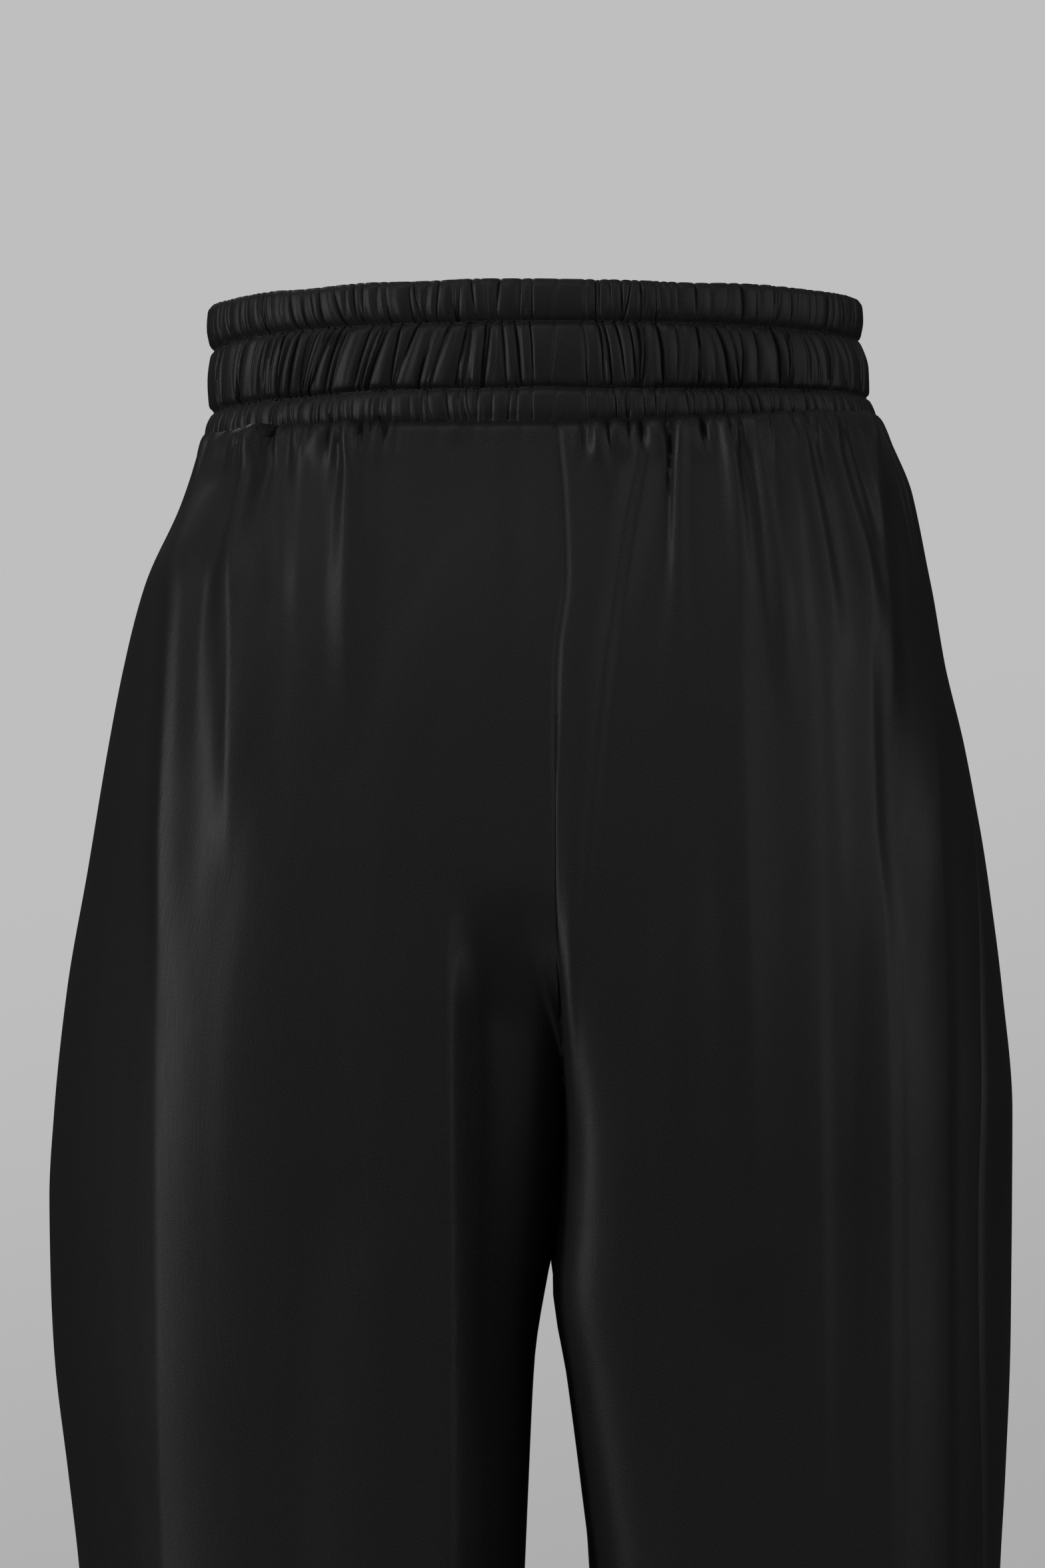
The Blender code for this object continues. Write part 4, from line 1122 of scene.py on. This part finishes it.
def stitch_tree():
    """A node tree that sets small rounded stitches along lines, in metres."""
    tree = bpy.data.node_groups.new("stitches_along_a_line", "GeometryNodeTree")
    sockets = tree.interface
    sockets.new_socket("Geometry", in_out="INPUT", socket_type="NodeSocketGeometry")
    for label in ("Pitch", "Along", "Depth", "Across", "Tilt"):
        sockets.new_socket(label, in_out="INPUT", socket_type="NodeSocketFloat")
    sockets.new_socket("Seed", in_out="INPUT", socket_type="NodeSocketInt")
    sockets.new_socket("Thread", in_out="INPUT", socket_type="NodeSocketMaterial")
    sockets.new_socket("Geometry", in_out="OUTPUT", socket_type="NodeSocketGeometry")
    nodes, links = tree.nodes, tree.links
    given = nodes.new("NodeGroupInput")
    curve = nodes.new("GeometryNodeMeshToCurve")
    spaced = nodes.new("GeometryNodeResampleCurve")
    spaced.mode = "LENGTH"
    links.new(given.outputs["Geometry"], curve.inputs["Mesh"])
    links.new(curve.outputs["Curve"], spaced.inputs["Curve"])
    links.new(given.outputs["Pitch"], spaced.inputs["Length"])
    bead = nodes.new("GeometryNodeMeshUVSphere")
    bead.inputs["Segments"].default_value = STITCH_SIDES
    bead.inputs["Rings"].default_value = STITCH_RINGS
    bead.inputs["Radius"].default_value = 0.5
    size = nodes.new("ShaderNodeCombineXYZ")
    for label, axis in (("Along", "X"), ("Depth", "Y"), ("Across", "Z")):
        links.new(given.outputs[label], size.inputs[axis])
    tangent = nodes.new("GeometryNodeInputTangent")
    turned = nodes.new("FunctionNodeAlignRotationToVector")
    turned.axis = "X"
    links.new(tangent.outputs["Tangent"], turned.inputs["Vector"])
    set_on = nodes.new("GeometryNodeInstanceOnPoints")
    links.new(spaced.outputs["Curve"], set_on.inputs["Points"])
    links.new(bead.outputs["Mesh"], set_on.inputs["Instance"])
    links.new(turned.outputs["Rotation"], set_on.inputs["Rotation"])
    links.new(size.outputs["Vector"], set_on.inputs["Scale"])
    back = nodes.new("ShaderNodeMath")
    back.operation = "MULTIPLY"
    back.inputs[1].default_value = -1.0
    links.new(given.outputs["Tilt"], back.inputs[0])
    chance = nodes.new("FunctionNodeRandomValue")
    chance.data_type = "FLOAT"
    links.new(back.outputs["Value"], chance.inputs[2])
    links.new(given.outputs["Tilt"], chance.inputs[3])
    links.new(given.outputs["Seed"], chance.inputs["Seed"])
    lean = nodes.new("ShaderNodeCombineXYZ")
    links.new(chance.outputs[1], lean.inputs["Y"])
    tilted = nodes.new("GeometryNodeRotateInstances")
    links.new(set_on.outputs["Instances"], tilted.inputs["Instances"])
    links.new(lean.outputs["Vector"], tilted.inputs["Rotation"])
    real = nodes.new("GeometryNodeRealizeInstances")
    smooth = nodes.new("GeometryNodeSetShadeSmooth")
    dressed = nodes.new("GeometryNodeSetMaterial")
    result = nodes.new("NodeGroupOutput")
    links.new(tilted.outputs["Instances"], real.inputs["Geometry"])
    links.new(real.outputs["Geometry"], smooth.inputs["Geometry"])
    links.new(smooth.outputs["Geometry"], dressed.inputs["Geometry"])
    links.new(given.outputs["Thread"], dressed.inputs["Material"])
    links.new(dressed.outputs["Geometry"], result.inputs["Geometry"])
    return tree


def sew(name, lines, thread, sizes, nodes=()):
    """One piece of stitches along lines of points. Each line is its points and whether it closes."""
    mesh = bpy.data.meshes.new(name)
    points, edges = [], []
    for line, closed in lines:
        first = len(points)
        points += [tuple(point) for point in line]
        edges += [(first + index, first + index + 1) for index in range(len(line) - 1)]
        if closed:
            edges.append((len(points) - 1, first))
    mesh.from_pydata(points, edges, [])
    piece = bpy.data.objects.new(name, mesh)
    bpy.context.scene.collection.objects.link(piece)
    stitches = piece.modifiers.new("stitches", "NODES")
    stitches.node_group = stitch_tree()
    values = dict(sizes, Thread=thread)
    for socket in stitches.node_group.interface.items_tree:
        if socket.item_type == "SOCKET" and socket.in_out == "INPUT" and socket.name in values:
            stitches[socket.identifier] = values[socket.name]
    bake_modifiers(piece)
    if not piece.data.polygons:
        raise RuntimeError(f"No stitches were made for {name}")
    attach(piece, "root")
    if nodes:
        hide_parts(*nodes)
    return piece


class TROUSERS_OT_leg_pieces(bpy.types.Operator):
    """Make the two back and two front leg pieces as fine satin shells"""
    bl_idname = "trousers.leg_pieces"
    bl_label = "Make Leg Pieces"

    def execute(self, context):
        cloth = context.scene.trousers_cloth
        material = satin_material("leg_satin", cloth)
        for face in ("back", "front"):
            for side, word in ((1, "left"), (-1, "right")):
                node = f"{face}_{word}"
                points, uv = leg_surface(side, face)
                mesh = grid_mesh(node + "_cloth", points, uv, flip=(side > 0) != (face == "back"))
                piece = place_piece(node + "_cloth", mesh, material, [node])
                turning = piece.vertex_groups.new(name="hem")
                low = [vertex.index for vertex in mesh.vertices if vertex.co.z < HEM + HEM_DEPTH]
                turning.add(low, 1.0, "REPLACE")
                wall = piece.modifiers.new("wall", "SOLIDIFY")
                wall.thickness = HEM_WALL
                wall.thickness_vertex_group = cloth.wall / HEM_WALL
                wall.vertex_group = "hem"
                wall.offset = -1.0
                bake_modifiers(piece, LEG_SHARP_ANGLE)
        return {"FINISHED"}


class TROUSERS_OT_waistband(bpy.types.Operator):
    """Make the waistband of three gathered channels"""
    bl_idname = "trousers.waistband"
    bl_label = "Make Waistband"

    def execute(self, context):
        cloth = context.scene.trousers_cloth
        material = satin_material("band_satin", cloth)
        band = bmesh.new()
        for channel in CHANNELS:
            rows, uv = channel_rows(channel)
            around = float(np.sum(np.linalg.norm(np.diff(rows[0][::10], axis=0), axis=1)))
            mesh = grid_mesh("waistband_cloth", rows, ring_uv(uv, around), close_rows=True,
                             close_columns=True)
            band.from_mesh(mesh)
            bpy.data.meshes.remove(mesh)
        mesh = bpy.data.meshes.new("waistband_cloth")
        band.to_mesh(mesh)
        band.free()
        mesh.shade_smooth()
        mesh.set_sharp_from_angle(angle=BAND_SHARP_ANGLE)
        piece = place_piece("waistband_cloth", mesh, material, ["waistband"])
        return {"FINISHED"}


def band_line(line_z, start=0.0, end=1.0, steps=BAND_LINE_POINTS):
    """Points on a stitched line of the waistband, between two shares of the way round it."""
    share = np.linspace(start, end, steps, endpoint=False)
    ring = band_ring(line_z)
    x, y, out_x, out_y, _ = band_place(ring, share)
    return np.column_stack((x - out_x * STITCH_SINK, y - out_y * STITCH_SINK,
                            line_z + band_lift(ring, x) + line_wave(share, line_z)))


def hem_lines():
    """The line of stitches near the top of the turned-up hem, on each of the four leg pieces."""
    lines = []
    for face in ("back", "front"):
        for side in (1, -1):
            points, _ = leg_surface(side, face)
            row = int(np.argmin(np.abs(points[:, 0, 2] - HEM - HEM_STITCHED)))
            line = points[row]
            middle = line.mean(axis=0) * (1, 1, 0) + (0, 0, line[0, 2])
            way = line - middle
            way /= np.linalg.norm(way, axis=1)[:, None]
            lines.append((line + way * HEM_STITCH_PROUD, False))
    return lines


def band_front(x, z):
    """Depth of the waistband's front face at a place."""
    ring = band_ring(z)
    middle, half = (ring.left - ring.right) / 2, (ring.left + ring.right) / 2
    return ring.front * (1 - (abs(x - middle) / half) ** BAND_POWER) ** (1 / BAND_POWER)


def hole_rim(side):
    """The edge of one drawstring hole on the waistband's front: a tall oval of two half circles."""
    straight = (HOLE_HEIGHT - HOLE_WIDTH) / 2
    angle = 2 * math.pi * (np.arange(HOLE_RIM_POINTS) + 0.5) / HOLE_RIM_POINTS
    x = side * HOLE_X + HOLE_WIDTH / 2 * np.cos(angle)
    z = HOLE_Z + np.where(np.sin(angle) > 0, straight, -straight) + HOLE_WIDTH / 2 * np.sin(angle)
    depth = [band_front(*place) for place in zip(x, z)]
    lift = band_lift(band_ring(HOLE_Z), x)
    return np.column_stack((x, np.array(depth) - HOLE_PROUD, z + lift))


class TROUSERS_OT_stitches(bpy.types.Operator):
    """Sew the waistband's two rows, the hems and the worked drawstring holes"""
    bl_idname = "trousers.stitches"
    bl_label = "Sew Stitches"

    def execute(self, context):
        sewing = context.scene.trousers_sewing
        thread = thread_material("black_thread", sewing)
        thick = sewing.thickness
        row = {"Pitch": sewing.pitch, "Along": sewing.pitch * STITCH_SHARE, "Depth": thick,
               "Across": thick, "Tilt": STITCH_TILT, "Seed": 3}
        lines = [(band_line(line_z), True) for line_z in (CHANNELS[0].z_foot, CHANNELS[1].z_foot)]
        for oversewn in OVERSEWN:
            line = band_line(oversewn.line_z, oversewn.start, oversewn.end, OVERSEWN_POINTS)
            lines.append((line + (0, oversewn.proud, oversewn.above), False))
        sew("waistband_stitches", lines, thread, row)
        sew("hem_stitches", hem_lines(), thread,
            dict(row, Pitch=sewing.hem_pitch, Along=HEM_STITCH_LENGTH, Seed=5))
        for side, word in ((1, "left"), (-1, "right")):
            sew(f"cord_hole_{word}_stitches", [(hole_rim(side), True)], thread,
                {"Pitch": HOLE_PITCH, "Along": HOLE_PITCH * HOLE_OVERLAP, "Depth": 2 * HOLE_RIM,
                 "Across": HOLE_BITE, "Tilt": HOLE_TILT, "Seed": 7}, [f"cord_hole_{word}"])
        return {"FINISHED"}


def set_floor(grey):
    """A round floor under the garment."""
    mesh = bpy.data.meshes.new("floor")
    disc = bmesh.new()
    bmesh.ops.create_circle(disc, cap_ends=True, segments=FLOOR_SIDES,
                          radius=FLOOR_RADIUS)
    bmesh.ops.translate(disc, verts=disc.verts, vec=(0.0, 0.0, FLOOR_Z))
    disc.to_mesh(mesh)
    disc.free()
    mesh.materials.append(floor_material("pale_floor", grey))
    floor = bpy.data.objects.new("floor", mesh)
    bpy.context.scene.collection.objects.link(floor)


def set_world(stage):
    """A pale backdrop with painted shade, darker low down, and soft even light that is stronger from
    above.
    """
    world = bpy.data.worlds.new("studio")
    bpy.context.scene.world = world
    world.use_nodes = True
    nodes, links = world.node_tree.nodes, world.node_tree.links
    nodes.clear()
    way = nodes.new("ShaderNodeTexCoord")

    def shade(name, low, high, towards, turn):
        """A background whose grey goes from low to high as the view turns towards a direction."""
        along_way = nodes.new("ShaderNodeVectorMath")
        along_way.operation = "DOT_PRODUCT"
        along_way.inputs[1].default_value = towards
        links.new(way.outputs["Generated"], along_way.inputs[0])
        grey = nodes.new("ShaderNodeMapRange")
        grey.interpolation_type = "SMOOTHSTEP"
        grey.inputs["From Min"].default_value = turn[0]
        grey.inputs["From Max"].default_value = turn[1]
        grey.inputs["To Min"].default_value = low
        grey.inputs["To Max"].default_value = high
        links.new(along_way.outputs["Value"], grey.inputs["Value"])
        background = nodes.new("ShaderNodeBackground")
        background.label = name
        links.new(grey.outputs["Result"], background.inputs["Color"])
        return background

    # the backdrop that the camera sees, with painted shade that makes it darker low down and towards
    # -X
    seen = shade("backdrop", stage.wall_grey * BACKDROP_PAINTED_SHADE, stage.wall_grey, BACKDROP_WAY,
                 BACKDROP_TURN)
    lit = shade("fill", stage.fill * FILL_LOW, stage.fill, FILL_WAY, FILL_TURN)
    mix = nodes.new("ShaderNodeMixShader")
    path = nodes.new("ShaderNodeLightPath")
    output = nodes.new("ShaderNodeOutputWorld")
    links.new(path.outputs["Is Camera Ray"], mix.inputs["Fac"])
    links.new(lit.outputs["Background"], mix.inputs[1])
    links.new(seen.outputs["Background"], mix.inputs[2])
    links.new(mix.outputs["Shader"], output.inputs["Surface"])


def set_lights():
    """Soft area lights."""
    for light in LIGHTS:
        lamp = bpy.data.lights.new(light.name, "AREA")
        lamp.shape = "RECTANGLE"
        lamp.size, lamp.size_y = light.width, light.height
        lamp.energy = light.power
        holder = bpy.data.objects.new(light.name, lamp)
        bpy.context.scene.collection.objects.link(holder)
        holder.location = light.place
        aim = Vector(light.aim) - Vector(light.place)
        holder.rotation_euler = aim.to_track_quat("-Z", "Y").to_euler()


def set_camera():
    """The photograph's view: level, square to the back, cropped from the waist to the thighs."""
    camera = bpy.data.cameras.new("camera")
    camera.lens = CAMERA_LENS
    camera.sensor_width = CAMERA_SENSOR
    camera.sensor_fit = "AUTO"
    holder = bpy.data.objects.new("camera", camera)
    holder.location = CAMERA_PLACE
    holder.rotation_euler = CAMERA_TURN
    bpy.context.scene.collection.objects.link(holder)
    bpy.context.scene.camera = holder
    bpy.context.scene.view_settings.view_transform = "Standard"


class TROUSERS_OT_stage(bpy.types.Operator):
    """Set the floor, the lights, the backdrop and the camera"""
    bl_idname = "trousers.stage"
    bl_label = "Set Stage"

    def execute(self, context):
        stage = context.scene.trousers_stage
        set_world(stage)
        set_lights()
        set_camera()
        set_floor(stage.floor_grey)
        return {"FINISHED"}


class TROUSERS_PT_sidebar(bpy.types.Panel):
    """Sizes, colours and steps of the trousers"""
    bl_idname = "TROUSERS_PT_sidebar"
    bl_label = "Drawstring Trousers"
    bl_space_type = "VIEW_3D"
    bl_region_type = "UI"
    bl_category = "Trousers"

    def draw(self, context):
        for group in (getattr(context.scene, name) for name, _ in GROUPS):
            box = self.layout.box()
            for name in group.__annotations__:
                box.prop(group, name)
        for operator in OPERATORS:
            self.layout.operator(operator.bl_idname)


GROUPS = (("trousers_cloth", TROUSERS_PG_cloth), ("trousers_sewing", TROUSERS_PG_sewing),
          ("trousers_stage", TROUSERS_PG_stage))
OPERATORS = (TROUSERS_OT_leg_pieces, TROUSERS_OT_waistband, TROUSERS_OT_stitches,
             TROUSERS_OT_stage)


def register():
    for name, group in GROUPS:
        bpy.utils.register_class(group)
        setattr(bpy.types.Scene, name, bpy.props.PointerProperty(type=group))
    for operator in OPERATORS:
        bpy.utils.register_class(operator)
    bpy.utils.register_class(TROUSERS_PT_sidebar)


def unregister():
    bpy.utils.unregister_class(TROUSERS_PT_sidebar)
    for operator in reversed(OPERATORS):
        bpy.utils.unregister_class(operator)
    for name, group in reversed(GROUPS):
        delattr(bpy.types.Scene, name)
        bpy.utils.unregister_class(group)


def main():
    register()
    bpy.ops.trousers.leg_pieces()
    bpy.ops.trousers.waistband()
    bpy.ops.trousers.stitches()
    bpy.ops.trousers.stage()


if __name__ == "__main__":
    main()
